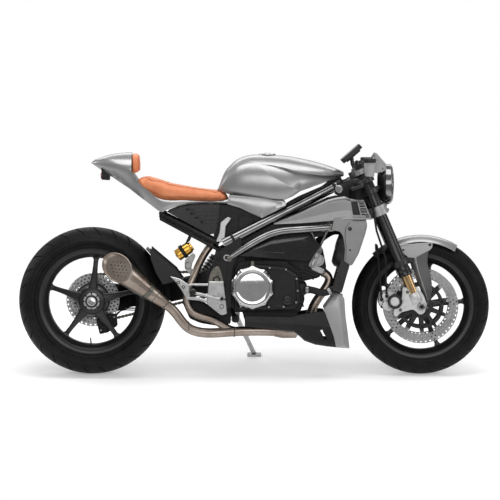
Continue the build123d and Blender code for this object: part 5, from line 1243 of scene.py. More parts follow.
piece("frame_bolts", both(bolt((1036, -152, 646), 9, 5), bolt((984, -133, 546), 7, 4),
    *nut((596, -148.5, 512), 11, 8)), DARK_STEEL)

PIVOT = np.array([543.0, 0.0, 418.0])
face_rib = rounded([(530, 462), (546, 528), (560, 552), (600, 568), (592, 520), (588, 470), (582, 400), (580, 316),
    (568, 306), (546, 336), (524, 402)], 12)
pivot_cap = lathe([(-153, 0), (-153, 9), (-155, 11), (-155, 16), (-150, 21), (-146, 22), (-146, 0)], PIVOT, steps=40)
skin = plate(face_rib, -150.5, -147)
piece("pivot_plate_skins", both(skin, pivot_cap, *nut((577, -150, 335), 9, 7), *nut((552, -150, 512), 9, 7)),
    CAST_BLACK, sharp=32, bevel=1.5)
ring = lathe([(-151, 8), (-154, 9.5), (-154, 13), (-151, 14.5), (-148, 14.5), (-148, 8)], (586.4, 0, 514.5), steps=32)
piece("pivot_plate_ring", both(ring), SATIN)
strut_line = rounded([(540, 582), (556, 625), (560, 666), (590, 690), (606, 684), (582, 650), (576, 582)], 5)
strut = plate(strut_line, -134, -118)
piece("seat_struts", both(strut), SATIN, sharp=30, bevel=1.5)
bay_box = plate([(528, 744), (620, 738), (730, 700), (800, 686), (1000, 676), (1050, 642), (1000, 604), (948, 598),
    (760, 586), (700, 560), (600, 588), (530, 596)], -96, -70, 8)
mount = plate([(592, 296), (590, 540), (665, 545), (665, 500), (640, 470), (640, 290)], -100, -88, 6)
bay_case = plate([(640, 700), (700, 684), (704, 646), (664, 628), (636, 644)], -104, -94, 6)
under_tank = plate([(790, 676), (850, 748), (900, 775), (1000, 818), (1062, 868), (1082, 850), (1066, 822),
    (1000, 782), (900, 722)], -62, -48, 8)
linkage = plate([(392, 318), (424, 246), (470, 226), (540, 214), (604, 222), (604, 296), (548, 286), (500, 300),
    (452, 336), (410, 344)], -62, -50, 12)
piece("battery_bay", both(bay_box, bay_case, mount, under_tank, linkage), CAST_BLACK, sharp=30, bevel=2.0)

# Louvred panels under the seat
louvre_base = plate([(326, 712), (345, 720), (385, 734), (430, 743.5), (512, 747.5), (556, 744.5), (552, 676),
    (536, 616), (508, 612)], -101, -93, 5)
louvres = []
for row, (x0, x1, z) in enumerate(((410, 556, 722), (430, 554, 704), (452, 552, 686), (474, 550, 668))):
    path = [(x0, -102.5, z), (x0 + 12, -106.5, z - 1), (x1 - 8, -106.5, z - 3), (x1, -103.5, z - 3)]
    louvres.append(strap(path, [(-3, -5), (2.5, -3), (3, 2), (1, 4), (-3, 4.5)]))
rim = strap([(332, -102, 711), (386, -102.5, 731), (430, -102.5, 740), (512, -102.5, 744), (552, -102, 741)],
    oval(3, 5, 12))
piece("seat_side_skins", both(louvre_base, rim, *louvres), GLOSS_BLACK, replaces=("seat_side_panels",), sharp=30,
    bevel=0.8)
tube_top = [(300, -84, 702), (386, -92, 659), (470, -100, 615), (548, -110, 574)]
tube_low = [(300, -84, 680), (400, -97, 627), (500, -110, 574), (552, -119, 546)]
end_piece = lathe([(-8, 0), (-8, 15), (14, 15), (14, 0)], (306, -84.5, 699), (0.87, -0.09, -0.45), 28)
lug_plate = plate([(292, 712), (318, 700), (318, 672), (296, 672)], -92, -76, 6)
piece("seat_tubes", both(tube(tube_top, 10.6, 28), tube(tube_low, 7, 24)), BLACK_PAINT)
piece("seat_tube_ends", both(end_piece, lug_plate), CAST_BLACK, sharp=32, bevel=1.5)

# Shock absorber with its spring and the gold reservoir
low, high = np.array([440.0, 0, 372.0]), np.array([564.0, 0, 532.0])
way = (high - low) / np.linalg.norm(high - low)
long = np.linalg.norm(high - low)
u = np.cross(way, (0, 1, 0))
t = np.linspace(0, 1, 340)[:, None]
turn = 2 * pi * 7.5 * t
spring = tube(low + way * (42 + (long - 84) * t) + 27 * (np.cos(turn) * u + np.sin(turn) * (0, 1, 0)), 5.4, 14)
cups = [lathe([(a, 0), (a, 29), (a + 2, 31), (a + 8, 31), (a + 10, 28), (a + 10, 0)], low, way, 44)
    for a in (30, long - 42)]
damper = lathe([(14, 0), (14, 13), (30, 15), (long - 70, 15), (long - 68, 19), (long - 16, 19), (long - 12, 12),
    (long - 12, 0)], low, way, 40)
eyes = [lathe([(-17, 10.3), (-17, 19), (-14, 20.5), (14, 20.5), (17, 19), (17, 10.3)], p, steps=36)
    for p in (low, high)]
piece("shock_spring", [spring], STEEL, replaces=("shock_absorber",), sharp=50)
piece("shock_damper", [damper, *cups, *eyes], BLACK_PAINT)
r_low, r_high = np.array([372.0, -88, 520]), np.array([424.0, -88, 556])
r_way = (r_high - r_low) / np.linalg.norm(r_high - r_low)
r_long = np.linalg.norm(r_high - r_low)
can = lathe([(-2, 0), (-2, 20), (0, 25), (3, 26), (9, 26), (9, 24.6), (12, 24.6), (12, 26), (r_long, 26),
    (r_long + 2, 25), (r_long + 6, 20), (r_long + 13, 19), (r_long + 13, 0)], r_low, r_way, 56)
piece("shock_gas_can", [can], GOLD, replaces=("shock_reservoir",), sharp=34)
can_cap = lathe([(-3.2, 0), (-3.2, 9), (-5, 8), (-5, 0)], r_low, r_way, 6)
links = plate([(404, 500), (440, 532), (452, 520), (430, 470), (446, 452), (430, 436), (404, 462)], -84, -72, 6)
knob = lathe([(-92, 0), (-92, 13), (-88, 15), (-74, 15), (-74, 0)], (420, 0, 478), steps=30)
piece("shock_links", [can_cap, links, knob], CAST_GREY, sharp=32, bevel=1.2)


# Footrest hangers: a bright plate, the open lattice behind it, a folding peg and the pedals

main_plate = layers(rounded([(508, 412), (574, 412), (584, 330), (588, 272), (562, 266), (532, 290), (500, 316),
    (504, 366)], 7), [(-148.5, 0), (-156, 0), (-159, 3)])
gusset = layers(rounded([(340, 435), (384, 424), (424, 398), (430, 352), (412, 336), (392, 372), (366, 408)], 6),
    [(-148.5, 0), (-156, 0), (-158.5, 2.5)])
lattice = [strap([(412, -153, 392), (440, -153, 398), (506, -153, 398)], oval(8, 11, 16, 0.6)),
    strap([(410, -153, 342), (470, -153, 337), (512, -153, 322)], oval(8, 15, 16, 0.6)),
    strap([(424, -153, 362), (470, -153, 358), (510, -153, 344)], oval(7, 6, 16, 0.6))]
piece("footrest_hangers", both(main_plate, gusset, *lattice), SATIN, replaces=("footrests",), sharp=30)
heel = layers(rounded([(504, 408), (516, 452), (534, 474), (552, 478), (566, 440), (574, 410)], 8),
    [(-148.5, 0), (-152, 0), (-154, 3)])
inset_mark = [lathe([(-158, 0), (-158, r), (-160, r + 1.5), (-160, r + 4), (-158, r + 5)], (x, 0, z), steps=30)
    for x, z, r in ((565, 304, 6), (530, 344, 2.5), (378, 408, 3), (400, 388, 3))]
holder = lathe([(-148, 0), (-148, 15), (-166, 15), (-170, 12), (-170, 0)], (440, 0, 366), steps=36)
piece("footrest_bolts", both(heel, *inset_mark, holder, bolt((548, -154, 440), 5, 4)), DARK_STEEL, sharp=32)
peg_line = [(-168, 0), (-168, 9)] + [(-172 - 5 * (i // 4) - (0, 1, 3.6, 4.6)[i % 4], (9, 11, 11, 9)[i % 4])
    for i in range(48)] + [(-236, 10.5), (-238, 9), (-238, 0)]
peg = lathe(peg_line, (440, 0, 366), steps=36)
toe = lathe([(-160, 0), (-160, 6), (-176, 6), (-176, 7.5), (-198, 7.5), (-201, 5), (-201, 0)], (566, 0, 339),
    steps=28)
piece("footrest_pegs", both(peg, toe), RUBBER)
arm_line = [(438, -163.5, 363), (470, -163.5, 358), (520, -163.5, 344), (552, -163.5, 337), (568, -163.5, 339)]
pedal = strap(smooth_curve(arm_line, 30), oval(6.5, 13, 20, 0.7))
piece("pedals", both(pedal), SATIN, sharp=34)


# Engine

case_line = rounded([(616, 276), (905, 278), (924, 330), (916, 410), (902, 470), (846, 504), (640, 500), (618, 470),
    (614, 380)], 10)
cover_line = rounded([(634, 290), (880, 290), (905, 330), (898, 440), (840, 476), (700, 490), (628, 450)], 16)
left_line = rounded([(640, 290), (870, 290), (896, 340), (886, 440), (820, 470), (700, 470), (690, 330)], 16)
case_block = layers(case_line, [(-105, 5), (-108, 2), (-108, 0), (-3, 0), (-3, 1.2), (3, 1.2), (3, 0), (108, 0),
    (108, 2), (105, 5)])
cover_block = layers(cover_line, [(-106, -5), (-113, -5), (-113, 0), (-152, 0), (-158, 3), (-160, 7), (-160, 15),
    (-157, 19), (-157, 24)])
left_block = layers(left_line, [(106, -5), (113, -5), (113, 0), (143, 0), (148, 3), (150, 7)])
sump = layers(rounded([(652, 282), (898, 284), (892, 238), (664, 238)], 10), [(-92, 4), (-96, 0), (96, 0), (92, 4)])
piece("crankcase", [case_block, sump, cover_block, left_block], CAST_BLACK, replaces=("engine_cases",), sharp=30)
case_ribs = []
for k in range(9):
    z = 300 + 18.5 * k
    case_ribs.append(plate(rounded([(880, z), (922, z), (920, z + 6), (880, z + 6)], 2, 3), -117, 117))
sump_ribs = [plate(rounded([(x, 281), (x + 8, 281), (x + 8, 300), (x, 300)], 2, 3), -119, 119)
    for x in range(656, 840, 44)]
neck = lathe([(-105, 0), (-105, 30), (-112, 30), (-118, 27), (-122, 18), (-122, 0)], (908, 0, 376), steps=44)
piece("crankcase_ribs", both(*case_ribs, neck) + sump_ribs, CAST_BLACK, sharp=30)
screws = []
for x, z in ((648, 304), (704, 302), (768, 302), (832, 303), (886, 322), (893, 372), (888, 424), (842, 464),
        (772, 471), (706, 478), (640, 442), (641, 372)):
    screws += [lathe([(-113, 9), (-158, 8), (-161, 7), (-161, 0)], (x, 0, z), steps=24), bolt((x, -161, z), 5.2, 5)]
piece("crankcase_screws", screws[1::2], STEEL)
piece("crankcase_bosses", screws[0::2], CAST_BLACK, sharp=32)
filler = lathe([(-158, 0), (-158, 18), (-166, 18), (-169, 15), (-169, 11), (-165, 10), (-165, 0)], (848, 0, 330),
    steps=36)
plug = plate([(838, 326), (858, 326), (858, 334), (838, 334)], -171, -164, 3)
piece("oil_filler_plug", [filler, plug], BLACK_PAINT, sharp=32, bevel=0.8)

# Clutch cover: a scalloped bright ring round a dished middle
CX, CZ = 697.6, 388.0
angle = np.linspace(0, 2 * pi, 240, endpoint=False)[None, :]
lobes = np.abs(np.cos(5 * (angle - radians(18)))) ** 6
profile = np.array([(-160.3, 90, 0), (-164, 92, 1), (-180, 91, 1), (-186, 88, 1), (-190, 84, 0.7), (-195.6, 80, 0),
    (-196.6, 78, 0), (-196.6, 75, 0), (-194, 73.5, 0), (-190, 73, 0), (-186, 72, 0)])[:, :, None]
r = profile[:, 1] + 4.5 * lobes * profile[:, 2]
ring = sheet(np.stack([CX + r * np.cos(angle), profile[:, 0] + 0 * r, CZ + r * np.sin(angle)], -1), loop_columns=True)
rise = np.linspace(0, 1, 26)
dome = [(-186.5, 73.5), (-184.5, 66), (-183.6, 61)] + [(-184 - 3.4 * (1 - k * k), 58 * k) for k in rise[::-1]]
dish = lathe(dome, (CX, 0, CZ), steps=120)
ring_screws = [bolt((CX + 85 * cos(radians(18 + 36 * k)), -188.5, CZ + 85 * sin(radians(18 + 36 * k))), 3.4, 3.2)
    for k in range(10)]
piece("clutch_ring", [ring], CHROME, replaces=("clutch_cover",))
piece("clutch_dish", [dish], CHROME)
tab = plate([(CX - 9, 470), (CX + 9, 470), (CX + 6, 500), (CX - 6, 500)], -176, -160, 4)
piece("clutch_screws", ring_screws + [tab], DARK_STEEL)
generator = lathe([(150.3, 0), (150.3, 74), (168, 73), (174, 70), (177, 62), (177, 58), (181, 55), (184, 50),
    (184, 16), (181, 13), (181, 0)], (778, 0, 376), steps=96)
generator_screws = [bolt((778 + 66 * cos(radians(30 + 60 * k)), 173, 376 + 66 * sin(radians(30 + 60 * k))), 4.4, 5,
    way=(0, 1, 0)) for k in range(6)]
piece("generator_cover", [generator], CAST_BLACK, replaces=("left_engine_covers",), sharp=32)
piece("generator_screws", generator_screws, DARK_STEEL)

# Cylinder banks: front one with its bright head cover end, rear one under the tank
front_line = rounded([(846, 492), (890, 460), (902, 407), (985, 426), (1018, 470), (1002, 552), (964, 582),
    (936, 586)], 10)
front_bank = layers(front_line, [(-102, 6), (-107, 2), (-108, 0), (108, 0), (107, 2), (102, 6)])
rear_line = rounded([(652, 500), (850, 504), (770, 560), (764, 668), (748, 680), (648, 680), (632, 660)], 10)
rear_bank = layers(rear_line, [(-77, 6), (-81, 2), (-82, 0), (82, 0), (81, 2), (77, 6)])
fins = [plate(rounded([(x, z), (x + 57, z - 24), (x + 59, z - 19), (x + 2, z + 5)], 1.5, 3), -113, 113)
    for x, z in ((905 + 6 * k, 440 + 13 * k) for k in range(4))]
rear_fins = [plate(rounded([(644, z), (762, z), (762, z + 5), (644, z + 5)], 2, 3), -87, 87)
    for z in range(560, 650, 15)]
piece("cylinders", [front_bank, rear_bank] + fins + rear_fins, CAST_BLACK, replaces=("cylinder_banks",), sharp=32)
pill = rounded([(1001, 547), (976, 558), (937, 478), (962, 466)], 10)
pill_cover = layers(pill, [(-107, 0), (-120, 0), (-123, 2), (-124, 5)])
pill_window = layers(inset(pill, 7), [(-124, 0), (-126, 2)])
round_end = lathe([(-107, 0), (-107, 27), (-118, 27), (-121, 24), (-121, 19), (-119, 17), (-119, 0)], (983, 0, 502),
    steps=48)
foot = layers(rounded([(950, 462), (1000, 440), (1012, 462), (962, 486)], 6), [(-106, 0), (-114, 0), (-116, 2)])
piece("head_cover_ends", both(pill_cover, round_end, foot), CAST_GREY, sharp=32)
piece("head_cover_faces", both(pill_window), SATIN, sharp=32)
piece("head_cover_screws", both(*[bolt((x, -124, z), 4, 4) for x, z in ((984, 544), (968, 512), (953, 480))]),
    DARK_STEEL)

# Air box side covers: three facets with a narrow ridge
air_edge = [(640, 522), (700, 560), (780, 590), (862, 600), (948, 610), (995, 566), (966, 531), (949, 501),
    (905, 501), (832, 507), (760, 513)]
air_ridge = [(684, 541), (724, 555), (776, 573), (850, 584), (918, 594), (958, 578), (940, 560), (925, 572),
    (900, 582), (846, 577), (772, 566)]
air_panel = ridged(air_edge, air_ridge, -140, -144, -155)
vent = strap([(704, -146.5, 534), (760, -149.5, 538), (836, -149, 534)], oval(3, 5, 10))
piece("air_box_covers", both(air_panel, vent), GLOSS_BLACK, replaces=("airbox_covers",), sharp=24, bevel=1.5)

# Radiator: tanks, flat tubes and folded fins
tilt = radians(16)
R_OUT = np.array([cos(tilt), 0, -sin(tilt)])
R_UP = np.array([sin(tilt), 0, cos(tilt)])
R_MID = np.array([1098.0, 0, 490])
water_tubes = [slab_on([(-117, -130 + 11 * k), (117, -130 + 11 * k), (117, -127.6 + 11 * k), (-117, -127.6 + 11 * k)],
    R_MID, ACROSS, R_UP, -15, 15) for k in range(24)]
fold = np.arange(181)
folds = []
for k in range(23):
    up = -127.4 + 11 * k + 8.2 * (fold % 2)
    line = R_MID + (-116 + 232 * fold / 180)[:, None] * ACROSS + up[:, None] * R_UP
    folds.append(sheet(np.stack([line - 14 * R_OUT, line + 14 * R_OUT])))
ends = [slab_on(rounded([(s * 150, -127), (s * 150, 145), (s * 117, 145), (s * 117, -127)], 10), R_MID, ACROSS, R_UP,
    -21, 21) for s in (-1, 1)]
rails = [slab_on([(-118, h), (118, h), (118, h + 9), (-118, h + 9)], R_MID, ACROSS, R_UP, -17, 17)
    for h in (-139, 130)]
cap = lathe([(-4, 0), (-4, 14), (10, 14), (14, 20), (20, 20), (22, 17), (22, 0)], R_MID + 126 * R_UP + 120 * ACROSS,
    R_UP, 30)
hangers = [bar((1047, s * 139, 646), (1060, s * 139, 646), 7) for s in (-1, 1)]
hangers += [bar((1058, s * 139, 646), (1118, s * 139, 612), 6) for s in (-1, 1)]
piece("radiator_tubes", water_tubes + folds, CAST_BLACK, replaces=("radiator",), sharp=30)
piece("radiator_tanks", ends + rails + [cap] + hangers, BLACK_PAINT, sharp=32, bevel=1.5)

FAN_BLADES = 5
fans = [R_MID + 66 * R_UP - 17 * R_OUT + s * 67.6 * ACROSS for s in (-1, 1)]
fan_parts = [lathe([(0, 92), (0, 98), (26, 92), (34, 84), (34, 80), (26, 86), (8, 92)], fan, -R_OUT, 64)
    for fan in fans]
fan_parts += [lathe([(10, 0), (10, 26), (34, 26), (38, 20), (38, 0)], fan, -R_OUT, 40) for fan in fans]
fan_parts += [bar(fan - 30 * R_OUT, fan - 30 * R_OUT + 84 * (cos(a) * R_UP + sin(a) * ACROSS), 4, 3, 10)
    for fan in fans for a in np.arange(FAN_BLADES) * 2 * pi / FAN_BLADES]
piece("radiator_fans", fan_parts, PLASTIC, sharp=34)
hose_right = bent_pipe([(1046, -128, 378), (1010, -128, 362), (960, -128, 372), (926, -121, 376)], 15, 28, 80)
hose_left = bent_pipe([(1104, 128, 612), (1060, 126, 618), (1020, 112, 600), (985, 96, 575)], 15, 28, 80)
clips = [lathe([(-6, 15.6), (-6, 17), (6, 17), (6, 15.6)], c, w, 32)
    for c, w in (((1030, -128, 369), (0.9, 0, 0.4)), ((938, -124, 375), (1, -0.3, 0)),
        ((1088, 128, 615), (1, 0, -0.1)))]
piece("water_hoses", [hose_right, hose_left], RUBBER, sharp=50)
piece("hose_clips", clips, STEEL)


# Painted panels

def skin_between(top, bottom, low, high, columns, rows):
    """Grid of a side panel: p = (1-v) bottom(s) + v top(s). Its Y runs between two lines, flares out below the
    crease and rolls in along the upper edge."""
    s, v = np.linspace(0, 1, rows), np.linspace(0, 1, columns)[None, :, None]
    lower, upper = (np.stack([np.interp(s, np.linspace(0, 1, len(line)), np.asarray(line, float)[:, k])
        for k in (0, 1)], -1) for line in (bottom, top))
    flat = (1 - v) * lower[:, None] + v * upper[:, None]
    flare = -7 * np.clip(1 - v[..., 0] / 0.38, 0, 1) * np.clip(s[:, None] / 0.5, 0, 1)
    roll = 10 * np.clip((v[..., 0] - 0.82) / 0.18, 0, 1) ** 2
    return np.stack([flat[..., 0], np.interp(flat[..., 0], low, high) + flare + roll, flat[..., 1]], -1)


upper_top = [(790, 661), (845, 684), (900, 708), (963, 737), (1026, 766), (1060, 774), (1094, 779), (1118, 768),
    (1147, 764), (1161, 764), (1175, 764)]
upper_low = [(790, 657), (850, 660), (905, 662), (975, 668), (1044, 674), (1080, 678), (1108, 680), (1131, 680),
    (1166, 680), (1189, 680), (1212, 680)]
ACROSS_SKIN, ALONG_SKIN = 43, 161
points, faces = sheet(skin_between(upper_top, upper_low, [780, 1040, 1220], [-126, -160, -176], ACROSS_SKIN,
    ALONG_SKIN))
faces = np.array(faces)
# Behind the nose a strip is open, and ahead of it a grille of cells
along, height = (faces[:, 0] // ACROSS_SKIN) / (ALONG_SKIN - 1), points[faces].mean(1)[:, 2]
strip = (along > 0.705) & (along < 0.795) & (height > 689) & (height < 757)
cells = (along > 0.83) & (along < 0.965) & ((height % 23.5 > 5) & (height > 687) & (height < 757))
# The fairing panels take the silver paint with painted shade.
piece("fairing_skins", both((points, faces[~(strip | cells)].tolist())), PAINTED_SHADE_SILVER, replaces=("fairing_panels",),
    sharp=30, wall=4.5)
duct = plate([(1118, 684), (1200, 684), (1182, 762), (1108, 762)], -158, -150, 4)
slats = [plate([(x + 2, z), (x + 33, z), (x + 31, z + 12), (x, z + 12)], -167, -160, 3)
    for x, z in ((1174 - 0.45 * (z - 690), z) for z in (690, 713, 737))]
piece("fairing_duct", both(duct), PLASTIC, sharp=30)
# The slats take the silver paint with deeper painted shade.
piece("fairing_slats", both(*slats), DEEP_PAINTED_SHADE_SILVER, sharp=30, bevel=1.5)
leaf_line = rounded([(1050, 690), (1123, 700), (1184, 700), (1192, 654), (1184, 619), (1131, 488), (1122, 480),
    (1092, 501), (1096, 554), (1088, 606), (1075, 628), (1038, 634)], 9)
leaf_skin = layers(leaf_line, [(-167, 0), (-171, 0), (-172, 1)])
leaf_front = rounded([(1097, 645), (1123, 676), (1188, 678), (1190, 654), (1184, 619), (1155, 532), (1131, 489),
    (1122, 482), (1097, 503), (1100, 554), (1094, 606)], 7)
leaf_face = layers(leaf_front, [(-171, 0), (-173, 0), (-176.5, 4)])
leaf_stay = bar((1118, -168, 560), (1118, -150.5, 560), 6)
# The fairing leaves take the silver paint with painted shade.
piece("fairing_leaves", both(leaf_skin, leaf_face, leaf_stay), PAINTED_SHADE_SILVER, sharp=24)
# A black disc on the leaf stands in for its hole: painted shade; the bolt beside it is real.
leaf_hole_shade_disc = lathe([(-175, 0), (-177.2, 0.5), (-177.2, 8), (-176.0, 9.5)], (1117, 0, 640), steps=32)
piece("fairing_bolt_and_hole_shade", both(leaf_hole_shade_disc, bolt((1118, -177, 548), 4, 3)), BLACK_PAINT)

chin_edge = [(1062, 364), (1095, 340), (1101, 257), (1110, 192), (1118, 120), (1060, 124), (1050, 170), (1030, 227),
    (1006, 290), (1036, 331)]
chin_ridge = [(1067, 348), (1074, 334), (1080, 257), (1087, 192), (1094, 134), (1089, 134), (1082, 176), (1072, 240),
    (1052, 296), (1056, 328)]
chin_skin = ridged(chin_edge, chin_ridge, -119.3, -122, -132)
piece("chin_skins", both(chin_skin), PAINT, replaces=("chin_panels",), sharp=20, bevel=0.8)

belly_top = [(664, 262), (762, 259.5), (861, 257), (905, 268), (950, 275), (992, 281), (1009, 277)]
belly_crease = [(664, 236), (765, 232), (866, 227), (912, 224), (962, 220), (1012, 216), (1038, 214)]
belly_low = [(664, 214), (772, 205), (880, 192), (924, 153), (968, 137), (1024, 128), (1064, 124)]
s = np.linspace(0, 1, 160)


def line_of(knots):
    """A line of (X, Z) knots read at the shares s, even from knot to knot."""
    return np.stack([np.interp(s, np.linspace(0, 1, len(knots)), np.asarray(knots, float)[:, k]) for k in (0, 1)], -1)


top, crease, low = line_of(belly_top), line_of(belly_crease), line_of(belly_low)
wide = np.interp(crease[:, 0], [664, 905, 1064], [124, 128, 118])
half = []
for v in np.linspace(0, 1, 14):
    flat = (1 - v) * top + v * crease
    half.append(np.stack([flat[:, 0], -(wide - 6 * (1 - v)), flat[:, 1]], -1))
for v in np.linspace(0.04, 1, 22):
    flat = (1 - v) * crease + v * low
    half.append(np.stack([flat[:, 0], -(wide - 1 - 9 * v - 16 * max(0, v - 0.8) ** 2 * 25), flat[:, 1]], -1))
edge = half[-1]
for v in np.linspace(0.12, 1, 10):
    half.append(edge * (1, 1 - v, 1) - np.array([0, 0, 4 * sin(pi * v / 2)]))
right = np.stack(half, 1)
left = right[:, -2::-1] * (1, -1, 1)
points, faces = sheet(np.concatenate([right, left], 1))
faces = np.array(faces)
middle = points[faces].mean(1)
slot = (np.abs(middle[:, 0] - 1004 + 0.5 * (middle[:, 2] - 179)) < 6) & (np.abs(middle[:, 2] - 179) < 21)
slot &= np.abs(middle[:, 1]) > 60
piece("belly_skin", [(points, faces[~slot].tolist())], CAST_BLACK, replaces=("belly_pan",), sharp=24, wall=4.0)

# Exhaust: headers with welded joints, collector, link pipe, and the rim of the muffler's mouth
START = np.array([322.0, -159, 314])
M_WAY = np.array([-0.757, -0.27, 0.595])
M_WAY /= np.linalg.norm(M_WAY)
link = [(830, -70, 190), (600, -96, 190), (414, -126, 214), (350, -149, 292), tuple(START)]
pipes = [bent_pipe(link, 21, 36, 160)]
welds = [weld(START + M_WAY * 1, M_WAY, 21.5), weld(START + M_WAY * 62, M_WAY, 30.2, 1.8),
    weld((618, -94, 190), (1, 0.1, 0), 21.5), weld((420, -125, 213), (1, 0.15, -0.1), 21.5)]
for y in (-58, 58):
    pipes.append(bent_pipe([(1001, y, 448), (1025, y, 430), (966, y, 300), (930, y * 0.8, 200), (850, -50, 190)], 17,
        32, 140))
    welds.append(weld((1008, y, 443), (0.8, 0, -0.6), 17.6))
    welds.append(weld((949, y * 0.9, 250), (0.38, 0, 0.92), 17.4, 1.5))
pipes.append(bent_pipe([(626, -60, 610), (560, -70, 596), (470, -100, 490), (430, -124, 400), (412, -126, 330),
    (440, -126, 276), (520, -112, 246), (590, -92, 206), (700, -80, 190)], 16, 32, 200))
collector = lathe([(0, 0), (0, 31), (60, 30), (96, 22), (96, 0)], (884, -42, 190), (-0.95, -0.3, 0), 44)
piece("exhaust_tubes", pipes + [collector], TITANIUM, replaces=("exhaust_pipes",), sharp=50)
up = np.cross(M_WAY, (0, 1.0, 0))
up /= np.linalg.norm(up)
out = np.cross(M_WAY, up)
normal = M_WAY * cos(pi / 4) + out * sin(pi / 4)
a = np.linspace(0, 2 * pi, 121)[:-1]
spin = np.cos(a)[:, None] * up + np.sin(a)[:, None] * out
lean = spin @ normal
flare = 25 / 202
reach = ((M_WAY @ normal) * 262 - 30 * lean + 60 * flare * lean) / (M_WAY @ normal + flare * lean)
mouth_line = START + M_WAY * reach[:, None] + (30 + flare * (reach - 60))[:, None] * spin
b = np.linspace(0, 2 * pi, 13)[:-1]
lip = mouth_line[:, None] + 3.2 * (np.cos(b)[None, :, None] * spin[:, None] + np.sin(b)[None, :, None] * M_WAY)
seam = [bar(START + M_WAY * 70 + 31.4 * spin[30], mouth_line[30] - M_WAY * 8 + 0.4 * spin[30], 1.3, 1.6, 10)]
piece("exhaust_welds", welds + seam, DARK_STEEL, sharp=60)
piece("muffler_lip", [sheet(lip, True, True)], TITANIUM, sharp=60)
band = lathe([(88, 34.0), (88, 36), (108, 38.6), (108, 36.4)], START, M_WAY, 60)
piece("muffler_clamp", [band], DARK_STEEL)


# Seams on the pads, laid on their finished surfaces

def from_row(points):
    """Points of the row frame in metres, as millimetres of the upright motorcycle."""
    return (np.asarray(points, float) - np.array(ORIGIN)) @ AXES.T / MM


def on_pad(pad, points, way):
    """Where lines from the points along a way meet the pad; points whose line misses it are left out."""
    tree = BVHTree.FromPolygons([v.co for v in pad.data.vertices], [list(f.vertices) for f in pad.data.polygons])
    goal = Vector((np.asarray(way, float) @ AXES).tolist()).normalized()
    hits = [tree.ray_cast(Vector(p), goal)[0] for p in to_row(points)]
    return from_row([tuple(hit) for hit in hits if hit is not None])


def stitches(path, length=7.0, gap=4.5, thick=0.9):
    """Short threads along a path: capsules of eight sides, length long with a gap between."""
    step = np.r_[0, np.cumsum(np.linalg.norm(np.diff(path, axis=0), axis=1))]
    starts = np.arange(gap, step[-1] - length, length + gap)
    at = [np.stack([np.interp(starts + shift * length, step, path[:, k]) for k in range(3)], -1)
        for shift in (0, 0.5, 1)]
    return [tube(np.stack([a, (b[0], b[1], b[2] + 0.4), c]), thick, 8) for a, b, c in zip(*at)]


WELT = finish("leather_welt", (0.42, 0.10, 0.03), (0.52, 0.15, 0.05), 0.0, (0.45, 0.6), 20, 500, 0.0004)
THREAD = finish("waxed_thread", (0.72, 0.36, 0.20), (0.8, 0.44, 0.26), 0.0, (0.5, 0.7), 20, 2500, 0.0002)
xs = np.linspace(232, 580, 110)
seat_lines, seat_threads = [], []
for side in (-1, 1):
    for share, threads in ((0.74, False), (0.66, True)):
        row = np.stack([xs, side * share * table(SEAT_HALF, xs), 0 * xs + 900], -1)
        line = on_pad(seat, row, (0, 0, -1))
        (seat_threads if threads else seat_lines).append(line)
ys = np.linspace(-70, 70, 50)
cross = np.stack([0 * ys + 330, ys, 0 * ys + 900], -1)
seat_lines.append(on_pad(seat, cross, (0, 0, -1)))
piece("seat_welts", [tube(line, 1.7, 10) for line in seat_lines], WELT, sharp=60)
piece("seat_threads", [part for line in seat_threads for part in stitches(line)], THREAD, sharp=60)
a = np.linspace(0, 2 * pi, 121)
ring = np.stack([0 * a + 300, 68 * np.sign(np.cos(a)) * np.abs(np.cos(a)) ** 0.5,
    920 + 31 * np.sign(np.sin(a)) * np.abs(np.sin(a)) ** 0.6], -1)
bump_line = on_pad(bump, ring, (-1, 0, 0))
piece("bump_welt", [tube(bump_line, 1.5, 10)], WELT, sharp=60)
inner = np.stack([ring[:, 0], ring[:, 1] * 0.9, 920 + (ring[:, 2] - 920) * 0.8], -1)
piece("bump_threads", stitches(on_pad(bump, inner, (-1, 0, 0)), 6, 4), THREAD, sharp=60)
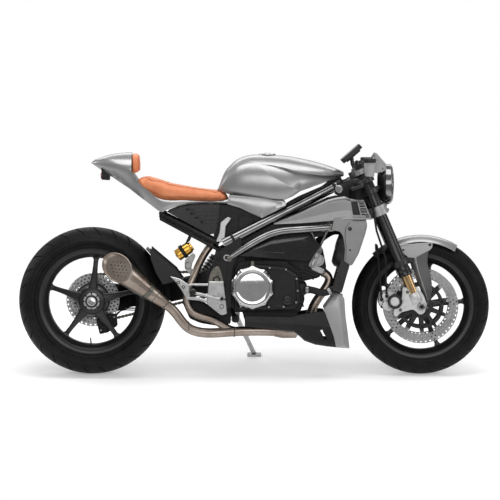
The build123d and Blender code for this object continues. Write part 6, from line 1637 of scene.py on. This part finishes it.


# Rear hub nut, tail lamp glass, rear caliper and its brake lines

RED_GLASS = finish("red_lamp_glass", (0.30, 0.01, 0.01), (0.45, 0.02, 0.015), 0.0, (0.08, 0.16), 30, 260, 0.0006, 0.6,
    stretch=(0.2, 1, 0.2))
frame["nodes"]["tail_lamp"].data.materials[0] = CAST_BLACK
lens_up = np.array([-0.038, 0.0, 0.999])
lens = [slab_on(rounded([(-38, -13), (38, -13), (38, 13), (-38, 13)], 7), (42.2, 0, 865), (0, 1, 0), lens_up, -3, 0)]
lens += [slab_on(rounded([(y - 2, -10), (y + 2, -10), (y + 2, 10), (y - 2, 10)], 1.5, 3), (42.2, 0, 865), (0, 1, 0),
    lens_up, -4.2, -2) for y in range(-32, 33, 8)]
piece("tail_lamp_lens", lens, RED_GLASS, sharp=30)
ZR = REAR["z"]
nut_ring = lathe([(-83, 16), (-83, 35.5), (-86, 36.5), (-90, 36), (-92, 34), (-92, 28), (-89, 26), (-89, 21),
    (-91, 20), (-91, 16)], (0, 0, ZR), steps=72)
# The nut's slots and the groove in its face are not cut: black plates and a black ring on the silver nut are painted
# shade in their place.
notches = [turn_about(plate([(30, ZR - 3.5), (38, ZR - 3.5), (38, ZR + 3.5), (30, ZR + 3.5)], -93, -85), (0, 0, ZR),
    (0, 1, 0), k * 2 * pi / 8) for k in range(8)]
piece("rear_nut", [nut_ring], SATIN, "rear_wheel", sharp=34)
groove_shade_ring = lathe([(-88, 20.5), (-89.6, 21), (-89.6, 26.5), (-88, 27)], (0, 0, ZR), steps=60)
piece("rear_nut_slot_and_groove_shade", notches + [groove_shade_ring], CAST_BLACK, "rear_wheel", sharp=34)
caps = [lathe([(17.5, 0), (17.5, 14), (13, 14), (11, 12), (11, 8), (12.5, 7), (12.5, 0)], (px, 0, pz), steps=36)
    for px, pz in ((48, ZR - 98), (80, ZR - 92))]
jaw = layers(rounded([(18, ZR - 86), (62, ZR - 62), (102, ZR - 66), (105, ZR - 110), (66, ZR - 139), (33, ZR - 146)],
    8), [(30, -2), (18, -2), (14, 2)])
piece("rear_caliper_body", [jaw] + caps, CAST_BLACK, sharp=32)
piece("rear_caliper_bolts", [bolt((px, 14, pz), 5, 5) for px, pz in ((36, ZR - 132), (94, ZR - 74))], STEEL)
lines = [bent_pipe([(104, 24, ZR - 66), (124, 22, 275), (150, 34, 284), (192, 74, 284), (238, 92, 304)], 3.2, 14, 50),
    bent_pipe([(100, 30, ZR - 64), (112, 34, 268), (146, 52, 276), (200, 84, 276), (240, 94, 296)], 2.4, 14, 50)]
piece("rear_brake_lines", lines, RUBBER, sharp=60)
bpy.context.scene.view_settings.view_transform = "Standard"
bpy.context.view_layer.update()
